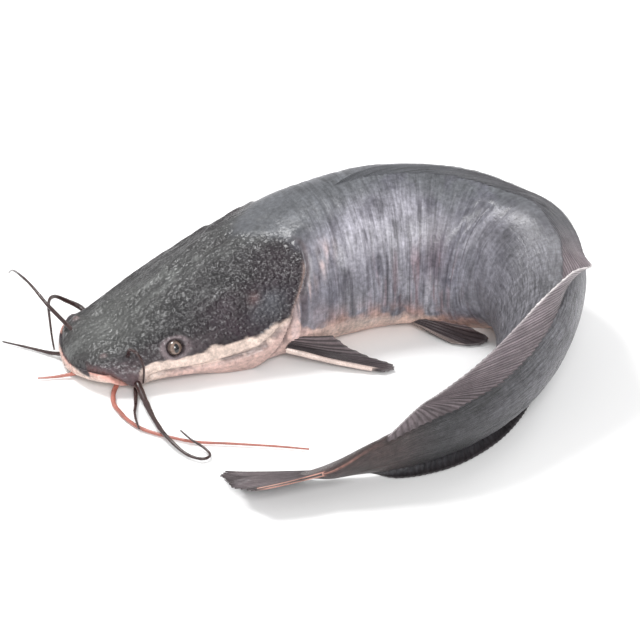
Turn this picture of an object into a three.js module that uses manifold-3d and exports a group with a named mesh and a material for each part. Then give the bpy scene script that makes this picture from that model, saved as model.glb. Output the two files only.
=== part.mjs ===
// A whole fresh catfish of the air-breathing (clariid) kind, lying on its belly and curled to its
// own left, with its tail fin brought round in front of it and laid over on its side.
// Millimetres, +Z up. The origin is on the table under the trunk. The fish faces -X and -Y.
import * as THREE from 'three';
import { mergeVertices } from 'three/addons/utils/BufferGeometryUtils.js';
import Module from 'manifold-3d';

const wasm = await Module();
wasm.setup();

// ---- Driving dimensions -------------------------------------------------------------------

const STANDARD_LENGTH = 385;       // snout to the root of the tail fin, along the back
const BODY_WIDTH = 70;             // across the back of the head, its widest
const BODY_DEPTH = 70;             // back to belly at the trunk, its deepest
const NOSE_LENGTH = 13;            // how far back the snout rounds off
const EYE_RADIUS = 3.4;
const DORSAL_FIN_HEIGHT = 15;
const ANAL_FIN_HEIGHT = 9.5;
const TAIL_FIN_LENGTH = 39;
const TAIL_FIN_SPREAD = 15;        // how far each outer ray ends from the fin's middle line
const PECTORAL_FIN_LENGTH = 46;
const PELVIC_FIN_LENGTH = 32;
const FIN_ROOT_THICKNESS = 2.2;
const FIN_EDGE_THICKNESS = 0.9;
const SPINE_EDGE_THICKNESS = 2.6;  // the bony leading edge of a pectoral fin
const SPINE_EDGE_SHARE = 1 / 3;    // how much of the pectoral fin's width it thickens
const WHISKER_ROOT_RADIUS = 1.9;
const WHISKER_TIP_RADIUS = 0.6;
const WHISKER_REST = 0.84;         // least height of a lying whisker's middle, in root radii
const CLEARANCE = 0.3;             // between pieces that touch
const ROOT_DEPTH = 2.5;            // how deep a fin or whisker starts before it is trimmed

const ORIGIN_STATION = 0.41;       // the station that lies over the origin
const LAST_STATION = 1.13;         // the spine line runs on through the tail fin

// Shapes along the fish. A station is a share of the standard length, snout 0 and tail root 1.
// The plan direction of the spine line, in degrees from +X.
const HEADING = [
  [0, 25], [0.13, 25], [0.23, 26], [0.33, 19], [0.41, 2], [0.49, -29], [0.555, -65],
  [0.62, -91], [0.69, -105], [0.76, -119], [0.835, -138], [0.915, -158], [1, -173], [1.12, -184],
];
// How far the back leans to the outside of the curl, in degrees.
const LEAN = [
  [0, 0], [0.46, 0], [0.55, 8], [0.63, 18], [0.72, 24], [0.9, 25], [0.95, 36], [1, 58], [1.12, 76],
];
// Half the width, as a share of half BODY_WIDTH.
const WIDTH_PROFILE = [
  [0, 0.66], [0.04, 0.76], [0.07, 0.83], [0.12, 0.9], [0.18, 0.97], [0.24, 1], [0.32, 0.97],
  [0.45, 0.91], [0.53, 0.77], [0.61, 0.55], [0.69, 0.39], [0.78, 0.29], [0.87, 0.2], [0.97, 0.11],
  [1, 0.085], [1.13, 0.06],
];
// Height of the back over the middle line, and drop of the belly under it, as shares of BODY_DEPTH.
const BACK_PROFILE = [
  [0, 0.06], [0.04, 0.1], [0.08, 0.2], [0.14, 0.375], [0.22, 0.515], [0.29, 0.55], [0.38, 0.57],
  [0.47, 0.56], [0.57, 0.49], [0.68, 0.385], [0.78, 0.3], [0.87, 0.23], [0.96, 0.17], [1, 0.155],
  [1.13, 0.155],
];
const BELLY_PROFILE = [
  [0, 0.08], [0.04, 0.11], [0.08, 0.15], [0.14, 0.175], [0.22, 0.25], [0.29, 0.35], [0.38, 0.415],
  [0.47, 0.41], [0.57, 0.36], [0.68, 0.3], [0.78, 0.27], [0.87, 0.23], [0.96, 0.18], [1, 0.155],
  [1.13, 0.155],
];
// 2 makes an ellipse; more makes a section squarer.
const BACK_SQUARENESS = [[0, 2.1], [0.1, 2.45], [0.25, 2.4], [0.37, 2.1], [1, 1.9]];
const BELLY_SQUARENESS = [[0, 2.4], [0.05, 3], [0.12, 3], [0.3, 2.3], [0.6, 2], [1, 1.8]];
// How far the soft belly presses flat on the table. Below 0 it is held up by the folded anal fin.
const PRESS = [
  [0, -3], [0.03, -2], [0.06, -0.8], [0.15, 1], [0.3, 4], [0.5, 4], [0.58, -3], [0.95, -2.6], [1, -2.6],
  [1.12, -1],
];

const EYE = { station: 0.1, angle: 162, inset: 1.9 };

// The long dorsal fin: its height, how far its root leans outward from upright, and how much more
// its edge curls over.
const DORSAL_STATIONS = [0.3, 0.94];
const DORSAL_HEIGHT = [
  [0.3, 0.1], [0.33, 0.5], [0.38, 0.6], [0.48, 0.6], [0.56, 0.56], [0.62, 0.58], [0.66, 0.8], [0.7, 1],
  [0.8, 0.85], [0.9, 0.55], [0.94, 0.15],
];
const DORSAL_LEAN = [
  [0.3, 30], [0.36, 66], [0.5, 72], [0.57, 77], [0.62, 73], [0.66, 46], [0.7, 8], [0.76, -18], [0.8, -22],
  [0.88, -10], [0.94, 5],
];
const DORSAL_CURL = [
  [0.3, 15], [0.36, 50], [0.5, 54], [0.56, 62], [0.62, 60], [0.66, 34], [0.7, 12], [0.94, 4],
];
const ANAL_STATIONS = [0.56, 0.95];
const ANAL_HEIGHT = [[0.56, 0.2], [0.6, 0.85], [0.66, 1], [0.85, 0.9], [0.95, 0.25]];
const ANAL_DROP = 1.1;             // height of the folded anal fin's edge over the table
const ANAL_SPREAD_EASE = 1.5;      // over 1, the fin leaves the body slowly
const ANAL_DROP_EASE = 2.5;        // over 1, it turns down early
const TAIL_ROOT_SHARE = 0.85;      // height of the tail fin's root, as a share of the tail's
const TAIL_FIN_ROUNDING = 0.14;    // how much shorter the outer rays are
const TAIL_FIN_SKEW = 0.17;        // how much shorter still on the back's side, and longer on the other

const PAIRED_ROOT_STEP = 1.6;      // length of a paired fin's root along the body
const PAIRED_DROP_EASE = 1.6;      // over 1, a paired fin turns down early

// Paired fins. Each ray runs out from the root: [degrees from the body's side towards the tail,
// share of the fin's length, height of its end over the table].
const PECTORAL = {
  station: 0.215,
  angle: 188,
  rays: [[53, 0.94, 1.9], [57, 1.02, 1.7], [61, 1, 1.8], [65, 0.8, 3.2], [70, 0.6, 6.5], [77, 0.46, 11]],
};
const PELVIC = {
  station: 0.4,
  angle: 220,
  rays: [[50, 0.66, 1.4], [56, 0.9, 1.4], [63, 1.04, 1.4], [70, 1.08, 1.6], [77, 0.86, 2.6], [82, 0.66, 4.6]],
};

// Whiskers. A raised route holds [station, angle, distance off the skin]; a lying route holds
// [outwards, backwards, height over the table] measured from its root.
const WHISKERS = [
  { name: 'left_nasal_barbel', root: [0.052, 143], thickness: 0.62, raised: [
    [0.05, 141, 5], [0.049, 139, 10], [0.053, 145, 11], [0.058, 157, 8], [0.06, 172, 5], [0.06, 188, 3.6]] },
  { name: 'right_nasal_barbel', root: [0.02, 62], thickness: 0.62, lying: [
    [11, -6, 20], [24, -9, 24], [37, -10, 23], [51, -9, 18], [64, -7, 10]] },
  { name: 'left_maxillary_barbel', root: [0.055, 192], thickness: 1, lying: [
    [3, 0, 5.5], [14, -1, 3.8], [28, -2.5, 3.6], [41, -2.5, 3.4], [53, 0.5, 1.9], [59, 5, 1.6],
    [58, 9, 1.6], [53, 8.5, 2.2], [47, 5.5, 3.4], [41, 3.5, 4.6]] },
  { name: 'right_maxillary_barbel', root: [0.055, -14], thickness: 0.9, raised: [
    [0.05, 0, 5], [0.035, 14, 9], [0.02, 28, 14], [0.008, 36, 17], [0, 30, 18], [0, 16, 15], [0, 4, 13]] },
  { name: 'left_outer_mandibular_barbel', root: [0.06, 214], thickness: 0.75, lying: [
    [3, -2, 2.6], [13, -6, 1.4], [20, -9, 2.6], [27, -11, 3.1], [33, -12, 3.1]] },
  { name: 'right_outer_mandibular_barbel', root: [0.012, -78], thickness: 0.75, lying: [
    [4, -2, 3], [10, -6, 1.6], [19, -13, 1.2], [28, -21, 1.2]] },
  { name: 'left_inner_mandibular_barbel', root: [0.04, 219], thickness: 0.7, lying: [
    [4, -3.5, 2], [11, -6, 1.2], [18, -6, 1.2], [26, -5, 1.2], [34, -2, 1.2], [42, 4, 1.2], [51, 13, 1.2],
    [58, 25, 1.2], [67, 40, 1.2], [75, 52, 1.2]] },
  { name: 'right_inner_mandibular_barbel', root: [0.012, -105], thickness: 0.7, lying: [
    [1, -4, 2], [3, -10, 1.2], [5, -17, 1.2]] },
];

// How finely the surfaces are divided.
const BODY_RINGS = 54;
const NOSE_RINGS = 6;
const RING_POINTS = 32;
const RESTING_POINTS = 96;         // points round a section that are tried for its lowest
const EYE_POINTS = 14;
const EYE_RINGS = 9;
const DORSAL_COLUMNS = 46;
const DORSAL_ROWS = 2;
const ANAL_COLUMNS = 28;
const ANAL_ROWS = 3;
const TAIL_COLUMNS = 10;
const TAIL_ROWS = 6;
const PAIRED_COLUMNS = 8;
const PECTORAL_ROWS = 5;
const PELVIC_ROWS = 4;
const WHISKER_LEAST_STEPS = 8;
const WHISKER_STEPS_PER_MM = 0.3;
const WHISKER_SIDES = 7;

// ---- Curves along the fish ----------------------------------------------------------------

const radians = THREE.MathUtils.degToRad;

// Value at x of the smooth curve through [x, value] keys, with no overshoot between them.
function along(keys, x) {
  const last = keys.length - 1;
  if (x <= keys[0][0]) return keys[0][1];
  if (x >= keys[last][0]) return keys[last][1];
  const slopes = [];
  for (let i = 0; i < last; i++) slopes.push((keys[i + 1][1] - keys[i][1]) / (keys[i + 1][0] - keys[i][0]));
  const tangentAt = (i) => {
    if (i === 0) return slopes[0];
    if (i === last) return slopes[last - 1];
    if (slopes[i - 1] * slopes[i] <= 0) return 0;
    return 2 / (1 / slopes[i - 1] + 1 / slopes[i]);
  };
  let i = 0;
  while (x > keys[i + 1][0]) i++;
  const width = keys[i + 1][0] - keys[i][0];
  const t = (x - keys[i][0]) / width;
  return (2 * t ** 3 - 3 * t ** 2 + 1) * keys[i][1] + (t ** 3 - 2 * t ** 2 + t) * width * tangentAt(i)
    + (3 * t ** 2 - 2 * t ** 3) * keys[i + 1][1] + (t ** 3 - t ** 2) * width * tangentAt(i + 1);
}

// The spine line in plan, walked in equal steps along the heading.
const SPINE_STEPS = 452;
const spine = [new THREE.Vector2(0, 0)];
for (let i = 0; i < SPINE_STEPS; i++) {
  const heading = radians(along(HEADING, (i + 0.5) * LAST_STATION / SPINE_STEPS));
  const step = STANDARD_LENGTH * LAST_STATION / SPINE_STEPS;
  const stride = new THREE.Vector2(Math.cos(heading), Math.sin(heading)).multiplyScalar(step);
  spine.push(spine[i].clone().add(stride));
}
const spinePoint = (station) => {
  const place = THREE.MathUtils.clamp(station / LAST_STATION, 0, 1) * SPINE_STEPS;
  const i = Math.min(Math.floor(place), SPINE_STEPS - 1);
  return spine[i].clone().lerp(spine[i + 1], place - i);
};
const origin = spinePoint(ORIGIN_STATION);

// The blunt, rounded snout: 0 at the tip and 1 from NOSE_LENGTH back.
function snoutRounding(station) {
  const share = Math.min(station * STANDARD_LENGTH / NOSE_LENGTH, 1);
  return Math.sqrt(1 - (1 - share) ** 2);
}

// One section's outline: across to the fish's right, and up, for an angle from its right side.
function sectionPoint(station, angle, grow = 0) {
  const round = snoutRounding(station);
  const cosine = Math.cos(angle);
  const sine = Math.sin(angle);
  const upper = sine >= 0;
  const halfWidth = along(WIDTH_PROFILE, station) * BODY_WIDTH / 2 * round + grow;
  const height = along(upper ? BACK_PROFILE : BELLY_PROFILE, station) * BODY_DEPTH * round + grow;
  const power = 2 / along(upper ? BACK_SQUARENESS : BELLY_SQUARENESS, station);
  return [
    halfWidth * Math.sign(cosine) * Math.abs(cosine) ** power,
    height * Math.sign(sine) * Math.abs(sine) ** power,
  ];
}

// Middle point and directions of the section at a station. It rests on the table by its lowest point.
const frames = new Map();
function frameAt(station) {
  if (frames.has(station)) return frames.get(station);
  const heading = radians(along(HEADING, station));
  const lean = radians(along(LEAN, station));
  const outward = new THREE.Vector3(-Math.sin(heading), Math.cos(heading), 0);
  const right = outward.clone().multiplyScalar(Math.cos(lean)).add(new THREE.Vector3(0, 0, -Math.sin(lean)));
  const up = outward.clone().multiplyScalar(Math.sin(lean)).add(new THREE.Vector3(0, 0, Math.cos(lean)));
  const back = new THREE.Vector3(Math.cos(heading), Math.sin(heading), 0);
  let lowest = 0;
  for (let i = 0; i < RESTING_POINTS; i++) {
    const [across, rise] = sectionPoint(station, i * Math.PI * 2 / RESTING_POINTS);
    lowest = Math.min(lowest, across * right.z + rise * up.z);
  }
  const place = spinePoint(station).sub(origin);
  const middle = new THREE.Vector3(place.x, place.y, -lowest - along(PRESS, station));
  const frame = { middle, right, up, back, outward };
  frames.set(station, frame);
  return frame;
}

// A point on the skin, or off it by grow. The belly is pressed flat where it meets the table.
function skinPoint(station, degrees, grow = 0) {
  const { middle, right, up } = frameAt(station);
  const [across, rise] = sectionPoint(station, radians(degrees), grow);
  const point = middle.clone().addScaledVector(right, across).addScaledVector(up, rise);
  point.z = Math.max(point.z, -grow);
  return point;
}

// ---- Solids -------------------------------------------------------------------------------

// Closed solid through a row of rings, with a point at each end.
function loft(rings, firstPoint, lastPoint) {
  const count = rings[0].length;
  const vertices = [...rings.flat(), firstPoint, lastPoint];
  const first = vertices.length - 2;
  const last = vertices.length - 1;
  const faces = [];
  for (let r = 0; r < rings.length - 1; r++) {
    for (let i = 0; i < count; i++) {
      const next = (i + 1) % count;
      const a = r * count + i;
      const b = r * count + next;
      faces.push(a, a + count, b, b, a + count, b + count);
    }
  }
  const end = (rings.length - 1) * count;
  for (let i = 0; i < count; i++) {
    const next = (i + 1) % count;
    faces.push(first, i, next, last, end + next, end + i);
  }
  return closedGeometry(vertices, faces);
}

// Thin fin between two skins. place(u, v) is its middle surface, v running from root to edge.
function blade(place, columns, rows, thickness) {
  const step = 1e-3;
  const vertices = [];
  for (const side of [1, -1]) {
    for (let i = 0; i <= columns; i++) {
      for (let j = 0; j <= rows; j++) {
        const [u, v] = [i / columns, j / rows];
        const [u0, u1] = [Math.max(u - step, 0), Math.min(u + step, 1)];
        const [v0, v1] = [Math.max(v - step, 0), Math.min(v + step, 1)];
        const normal = place(u1, v).sub(place(u0, v)).cross(place(u, v1).sub(place(u, v0))).normalize();
        vertices.push(place(u, v).addScaledVector(normal, side * thickness(u, v) / 2));
      }
    }
  }
  const corner = (side, i, j) => side * (columns + 1) * (rows + 1) + i * (rows + 1) + j;
  const faces = [];
  const quad = (a, b, c, d) => faces.push(a, b, c, a, c, d);
  for (let i = 0; i < columns; i++) {
    for (let j = 0; j < rows; j++) {
      quad(corner(0, i, j), corner(0, i + 1, j), corner(0, i + 1, j + 1), corner(0, i, j + 1));
      quad(corner(1, i, j), corner(1, i, j + 1), corner(1, i + 1, j + 1), corner(1, i + 1, j));
    }
    quad(corner(0, i, 0), corner(1, i, 0), corner(1, i + 1, 0), corner(0, i + 1, 0));
    quad(corner(0, i, rows), corner(0, i + 1, rows), corner(1, i + 1, rows), corner(1, i, rows));
  }
  for (let j = 0; j < rows; j++) {
    quad(corner(0, 0, j), corner(0, 0, j + 1), corner(1, 0, j + 1), corner(1, 0, j));
    quad(corner(0, columns, j), corner(1, columns, j), corner(1, columns, j + 1), corner(0, columns, j + 1));
  }
  return closedGeometry(vertices, faces);
}

// Tapered whisker along a smooth curve through the points.
function whisker(points, rootRadius, tipRadius) {
  const curve = new THREE.CatmullRomCurve3(points, false, 'centripetal');
  const steps = Math.max(WHISKER_LEAST_STEPS, Math.round(curve.getLength() * WHISKER_STEPS_PER_MM));
  const { normals, binormals } = curve.computeFrenetFrames(steps, false);
  const rings = normals.map((normal, k) => {
    const radius = THREE.MathUtils.lerp(rootRadius, tipRadius, Math.sqrt(k / steps));
    return Array.from({ length: WHISKER_SIDES }, (_, i) => {
      const turn = -i * Math.PI * 2 / WHISKER_SIDES;
      return curve.getPointAt(k / steps)
        .addScaledVector(normal, radius * Math.cos(turn))
        .addScaledVector(binormals[k], radius * Math.sin(turn));
    });
  });
  return loft(rings, points[0], points[points.length - 1]);
}

function closedGeometry(vertices, faces) {
  const geometry = new THREE.BufferGeometry();
  const coordinates = vertices.flatMap((vertex) => vertex.toArray());
  geometry.setAttribute('position', new THREE.Float32BufferAttribute(coordinates, 3));
  geometry.setIndex(faces);
  return geometry;
}

function toSolid(geometry) {
  geometry.deleteAttribute('normal');
  geometry.deleteAttribute('uv');
  const merged = mergeVertices(geometry, 1e-4);
  const solid = new wasm.Manifold(new wasm.Mesh({
    numProp: 3,
    vertProperties: new Float32Array(merged.attributes.position.array),
    triVerts: new Uint32Array(merged.index.array),
  }));
  return solid.volume() < 0 ? toSolid(flipped(merged)) : solid;
}

function flipped(geometry) {
  const index = Array.from(geometry.index.array);
  for (let i = 0; i < index.length; i += 3) [index[i], index[i + 1]] = [index[i + 1], index[i]];
  geometry.setIndex(index);
  return geometry;
}

function toMesh(name, solid, material) {
  const { vertProperties, triVerts } = solid.getMesh();
  const geometry = new THREE.BufferGeometry();
  geometry.setAttribute('position', new THREE.BufferAttribute(new Float32Array(vertProperties), 3));
  geometry.setIndex(new THREE.BufferAttribute(new Uint32Array(triVerts), 1));
  geometry.computeVertexNormals();
  const mesh = new THREE.Mesh(geometry, material);
  mesh.name = name;
  return mesh;
}

const finish = (color, roughness) => new THREE.MeshStandardMaterial({ color, roughness, metalness: 0 });
const skin = finish(0x5b5d62, 0.32);
const fin = finish(0x4a4648, 0.4);
const whiskerSkin = finish(0x5a3a36, 0.4);
const eyeball = finish(0x8c7350, 0.12);

const SIDES = [{ name: 'left', mirror: 1 }, { name: 'right', mirror: -1 }];
// Angles are given for the left side. The right side mirrors them about the back.
const sideAngle = (angle, mirror) => (mirror > 0 ? angle : 180 - angle);

// ---- The body -----------------------------------------------------------------------------

function bodyLoft(grow) {
  const stations = [];
  for (let i = 1; i < NOSE_RINGS; i++) {
    stations.push(NOSE_LENGTH / STANDARD_LENGTH * (1 - Math.cos(i / NOSE_RINGS * Math.PI / 2)));
  }
  const start = NOSE_LENGTH / STANDARD_LENGTH;
  const end = 1 + grow / STANDARD_LENGTH;
  for (let i = 0; i <= BODY_RINGS; i++) stations.push(start + (end - start) * i / BODY_RINGS);
  const rings = stations.map((station) => Array.from({ length: RING_POINTS },
    (_, i) => skinPoint(station, i * 360 / RING_POINTS, grow)));
  const tip = frameAt(0);
  const root = frameAt(1);
  return toSolid(loft(rings,
    tip.middle.clone().addScaledVector(tip.back, -grow),
    root.middle.clone().addScaledVector(root.back, CLEARANCE + grow)));
}

const eyeCentre = (mirror) => skinPoint(EYE.station, sideAngle(EYE.angle, mirror), -EYE.inset);
function eyeSolid(mirror, grow) {
  const ball = new THREE.SphereGeometry(EYE_RADIUS + grow, EYE_POINTS, EYE_RINGS);
  return toSolid(ball.translate(...eyeCentre(mirror).toArray()));
}

const sockets = SIDES.map(({ mirror }) => eyeSolid(mirror, CLEARANCE));
const body = sockets.reduce((rest, socket) => rest.subtract(socket), bodyLoft(0));
const roomForBody = bodyLoft(CLEARANCE);

// ---- Fins ---------------------------------------------------------------------------------

const finThickness = (u, v) => THREE.MathUtils.lerp(FIN_ROOT_THICKNESS, FIN_EDGE_THICKNESS, v);

function dorsalPlace(u, v) {
  const station = THREE.MathUtils.lerp(...DORSAL_STATIONS, u);
  const { outward } = frameAt(station);
  const lean = radians(along(DORSAL_LEAN, station));
  const curl = radians(along(DORSAL_CURL, station));
  const height = along(DORSAL_HEIGHT, station) * DORSAL_FIN_HEIGHT + ROOT_DEPTH;
  const across = height / curl * (Math.cos(lean) - Math.cos(lean + curl * v)) - ROOT_DEPTH * Math.sin(lean);
  const rise = height / curl * (Math.sin(lean + curl * v) - Math.sin(lean)) - ROOT_DEPTH * Math.cos(lean);
  const point = skinPoint(station, 90).addScaledVector(outward, across);
  return point.setZ(point.z + rise);
}

function analPlace(u, v) {
  const station = THREE.MathUtils.lerp(...ANAL_STATIONS, u);
  const { outward } = frameAt(station);
  const root = skinPoint(station, 270, -ROOT_DEPTH);
  const reach = along(ANAL_HEIGHT, station) * ANAL_FIN_HEIGHT;
  const point = root.clone().addScaledVector(outward, reach * v ** ANAL_SPREAD_EASE);
  point.z = THREE.MathUtils.lerp(root.z, ANAL_DROP, 1 - (1 - v) ** ANAL_DROP_EASE);
  return point;
}

// The tail fin fans out from the end of the body, follows its lean and lies on the table.
function tailPlace(u, v) {
  const side = u * 2 - 1;
  const reach = TAIL_FIN_LENGTH * (1 - TAIL_FIN_ROUNDING * side ** 2 - TAIL_FIN_SKEW * side);
  const station = 1 + (v * (reach + ROOT_DEPTH) - ROOT_DEPTH) / STANDARD_LENGTH;
  const { middle, up } = frameAt(station);
  const rootHeight = along(BACK_PROFILE, 1) * BODY_DEPTH * TAIL_ROOT_SHARE;
  const height = THREE.MathUtils.lerp(rootHeight, TAIL_FIN_SPREAD, Math.sin(v * Math.PI / 2));
  const point = middle.clone().addScaledVector(up, side * height);
  return point.setZ(Math.max(point.z, FIN_EDGE_THICKNESS / 2 + CLEARANCE));
}

// A paired fin: straight rays from a short root, ending at set heights over the table.
function pairedPlace(spec, length, mirror) {
  const { back, outward } = frameAt(spec.station);
  const root = skinPoint(spec.station, sideAngle(spec.angle, mirror), -ROOT_DEPTH);
  const out = outward.clone().multiplyScalar(-mirror);
  const count = spec.rays.length - 1;
  return (u, v) => {
    const ray = Math.min(Math.floor(u * count), count - 1);
    const [degrees, share, height] = spec.rays[ray]
      .map((value, k) => THREE.MathUtils.lerp(value, spec.rays[ray + 1][k], u * count - ray));
    const reach = length * share + ROOT_DEPTH;
    const start = root.clone().addScaledVector(back, (0.5 - u) * PAIRED_ROOT_STEP);
    start.z = root.z + (u - 0.5) * 2 * PAIRED_ROOT_STEP;
    const end = root.clone()
      .addScaledVector(out, reach * Math.cos(radians(degrees)))
      .addScaledVector(back, reach * Math.sin(radians(degrees)))
      .setZ(height);
    const point = start.clone().lerp(end, v);
    point.z = THREE.MathUtils.lerp(start.z, end.z, 1 - (1 - v) ** PAIRED_DROP_EASE);
    return point;
  };
}

const pectoralThickness = (u, v) => THREE.MathUtils.lerp(
  SPINE_EDGE_THICKNESS, finThickness(u, v), Math.min(u / SPINE_EDGE_SHARE, 1));

const group = new THREE.Group();
group.add(toMesh('body', body, skin));
for (const { name, mirror } of SIDES) {
  group.add(toMesh(`${name}_eye`, eyeSolid(mirror, 0), eyeball));
}

const trimmed = (geometry) => toSolid(geometry).subtract(roomForBody);
group.add(toMesh('dorsal_fin', trimmed(blade(dorsalPlace, DORSAL_COLUMNS, DORSAL_ROWS, finThickness)), fin));
group.add(toMesh('anal_fin', trimmed(blade(analPlace, ANAL_COLUMNS, ANAL_ROWS, finThickness)), fin));
group.add(toMesh('caudal_fin', trimmed(blade(tailPlace, TAIL_COLUMNS, TAIL_ROWS, finThickness)), fin));
for (const { name, mirror } of SIDES) {
  const pectoralPlace = pairedPlace(PECTORAL, PECTORAL_FIN_LENGTH, mirror);
  const pelvicPlace = pairedPlace(PELVIC, PELVIC_FIN_LENGTH, mirror);
  const pectoral = blade(pectoralPlace, PAIRED_COLUMNS, PECTORAL_ROWS, pectoralThickness);
  const pelvic = blade(pelvicPlace, PAIRED_COLUMNS, PELVIC_ROWS, finThickness);
  group.add(toMesh(`${name}_pectoral_fin`, trimmed(pectoral), fin));
  group.add(toMesh(`${name}_pelvic_fin`, trimmed(pelvic), fin));
}

// ---- Whiskers -----------------------------------------------------------------------------

for (const { name, root, thickness, raised, lying } of WHISKERS) {
  const mirror = name.startsWith('left') ? 1 : -1;
  const { back, outward } = frameAt(root[0]);
  const start = skinPoint(root[0], root[1], 0);
  const inside = skinPoint(root[0], root[1], -ROOT_DEPTH);
  const route = raised
    ? raised.map(([station, angle, standoff]) => skinPoint(station, angle, standoff))
    : lying.map(([out, aft, height]) => start.clone()
      .addScaledVector(outward, -mirror * out)
      .addScaledVector(back, aft)
      .setZ(Math.max(height, WHISKER_ROOT_RADIUS * thickness * WHISKER_REST)));
  const tube = whisker([inside, start, ...route], WHISKER_ROOT_RADIUS * thickness, WHISKER_TIP_RADIUS);
  group.add(toMesh(name, trimmed(tube), whiskerSkin));
}

export default group;
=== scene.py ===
"""The looks of a whole catfish curled on a table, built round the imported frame. Metres, +Z up."""
import math

import bmesh
import bpy
import numpy as np
from bpy.props import FloatProperty, FloatVectorProperty, IntProperty, PointerProperty
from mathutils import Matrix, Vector


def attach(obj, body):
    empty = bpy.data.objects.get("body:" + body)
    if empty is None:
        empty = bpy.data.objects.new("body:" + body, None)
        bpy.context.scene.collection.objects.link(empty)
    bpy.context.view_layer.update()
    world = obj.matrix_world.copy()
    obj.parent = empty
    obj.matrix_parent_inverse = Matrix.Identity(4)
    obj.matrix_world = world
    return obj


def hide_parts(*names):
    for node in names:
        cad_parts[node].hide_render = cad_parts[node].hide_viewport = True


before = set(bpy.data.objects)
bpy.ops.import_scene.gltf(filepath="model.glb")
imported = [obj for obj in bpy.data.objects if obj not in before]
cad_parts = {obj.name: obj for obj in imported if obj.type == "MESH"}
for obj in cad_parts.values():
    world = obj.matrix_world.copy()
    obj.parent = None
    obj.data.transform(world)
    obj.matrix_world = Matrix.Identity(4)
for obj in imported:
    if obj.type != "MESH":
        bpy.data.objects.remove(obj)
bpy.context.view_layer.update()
BODY = "root"

bl_info = {
    "name": "Curled catfish",
    "version": (1, 0, 0),
    "blender": (4, 5, 0),
    "location": "3D View > Sidebar > Catfish",
    "description": "Builds the skin, fins, whiskers and eyes of a whole catfish lying on a table",
    "category": "Object",
}

# ---- The fish's measures, in millimetres, as the solid model has them ---------------------

MM = 0.001
STANDARD_LENGTH = 385
BODY_WIDTH = 70
BODY_DEPTH = 70
NOSE_LENGTH = 13
ORIGIN_STATION = 0.41
LAST_STATION = 1.13
ROOT_DEPTH = 2.5

# A station is a share of the standard length, snout 0 and tail root 1.
HEADING = [
    (0, 25), (0.13, 25), (0.23, 26), (0.33, 19), (0.41, 2), (0.49, -29), (0.555, -65),
    (0.62, -91), (0.69, -105), (0.76, -119), (0.835, -138), (0.915, -158), (1, -173), (1.12, -184),
]
LEAN = [
    (0, 0), (0.46, 0), (0.55, 8), (0.63, 18), (0.72, 24), (0.9, 25), (0.95, 36), (1, 58), (1.12, 76),
]
WIDTH_PROFILE = [
    (0, 0.66), (0.04, 0.76), (0.07, 0.83), (0.12, 0.9), (0.18, 0.97), (0.24, 1), (0.32, 0.97),
    (0.45, 0.91), (0.53, 0.77), (0.61, 0.55), (0.69, 0.39), (0.78, 0.29), (0.87, 0.2), (0.97, 0.11),
    (1, 0.085), (1.13, 0.06),
]
BACK_PROFILE = [
    (0, 0.06), (0.04, 0.1), (0.08, 0.2), (0.14, 0.375), (0.22, 0.515), (0.29, 0.55), (0.38, 0.57),
    (0.47, 0.56), (0.57, 0.49), (0.68, 0.385), (0.78, 0.3), (0.87, 0.23), (0.96, 0.17), (1, 0.155),
    (1.13, 0.155),
]
BELLY_PROFILE = [
    (0, 0.08), (0.04, 0.11), (0.08, 0.15), (0.14, 0.175), (0.22, 0.25), (0.29, 0.35), (0.38, 0.415),
    (0.47, 0.41), (0.57, 0.36), (0.68, 0.3), (0.78, 0.27), (0.87, 0.23), (0.96, 0.18), (1, 0.155),
    (1.13, 0.155),
]
BACK_SQUARENESS = [(0, 2.1), (0.1, 2.45), (0.25, 2.4), (0.37, 2.1), (1, 1.9)]
BELLY_SQUARENESS = [(0, 2.4), (0.05, 3), (0.12, 3), (0.3, 2.3), (0.6, 2), (1, 1.8)]
PRESS = [
    (0, -3), (0.03, -2), (0.06, -0.8), (0.15, 1), (0.3, 4), (0.5, 4), (0.58, -3), (0.95, -2.6), (1, -2.6),
    (1.12, -1),
]

EYE_STATION, EYE_ANGLE, EYE_INSET, EYE_RADIUS = 0.1, 162, 1.9, 3.4
NOSTRIL_STATION, NOSTRIL_ANGLE = 0.03, 129

DORSAL_STATIONS = (0.3, 0.94)
DORSAL_FIN_HEIGHT = 15
DORSAL_HEIGHT = [
    (0.3, 0.1), (0.33, 0.5), (0.38, 0.6), (0.48, 0.6), (0.56, 0.56), (0.62, 0.58), (0.66, 0.8), (0.7, 1),
    (0.8, 0.85), (0.9, 0.55), (0.94, 0.15),
]
DORSAL_LEAN = [
    (0.3, 30), (0.36, 66), (0.5, 72), (0.57, 77), (0.62, 73), (0.66, 46), (0.7, 8), (0.76, -18), (0.8, -22),
    (0.88, -10), (0.94, 5),
]
DORSAL_CURL = [(0.3, 15), (0.36, 50), (0.5, 54), (0.56, 62), (0.62, 60), (0.66, 34), (0.7, 12), (0.94, 4)]
ANAL_STATIONS = (0.56, 0.95)
ANAL_FIN_HEIGHT = 9.5
ANAL_HEIGHT = [(0.56, 0.2), (0.6, 0.85), (0.66, 1), (0.85, 0.9), (0.95, 0.25)]
ANAL_DROP = 1.1
# A higher number brings a fin down to the table nearer its root, or spreads it nearer its edge.
ANAL_DROP_EASE, ANAL_SPREAD_EASE, PAIRED_DROP_EASE = 2.5, 1.5, 1.6
TAIL_FIN_LENGTH = 39
TAIL_FIN_SPREAD = 15
TAIL_FIN_ROUNDING = 0.14
TAIL_FIN_SKEW = 0.17
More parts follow.
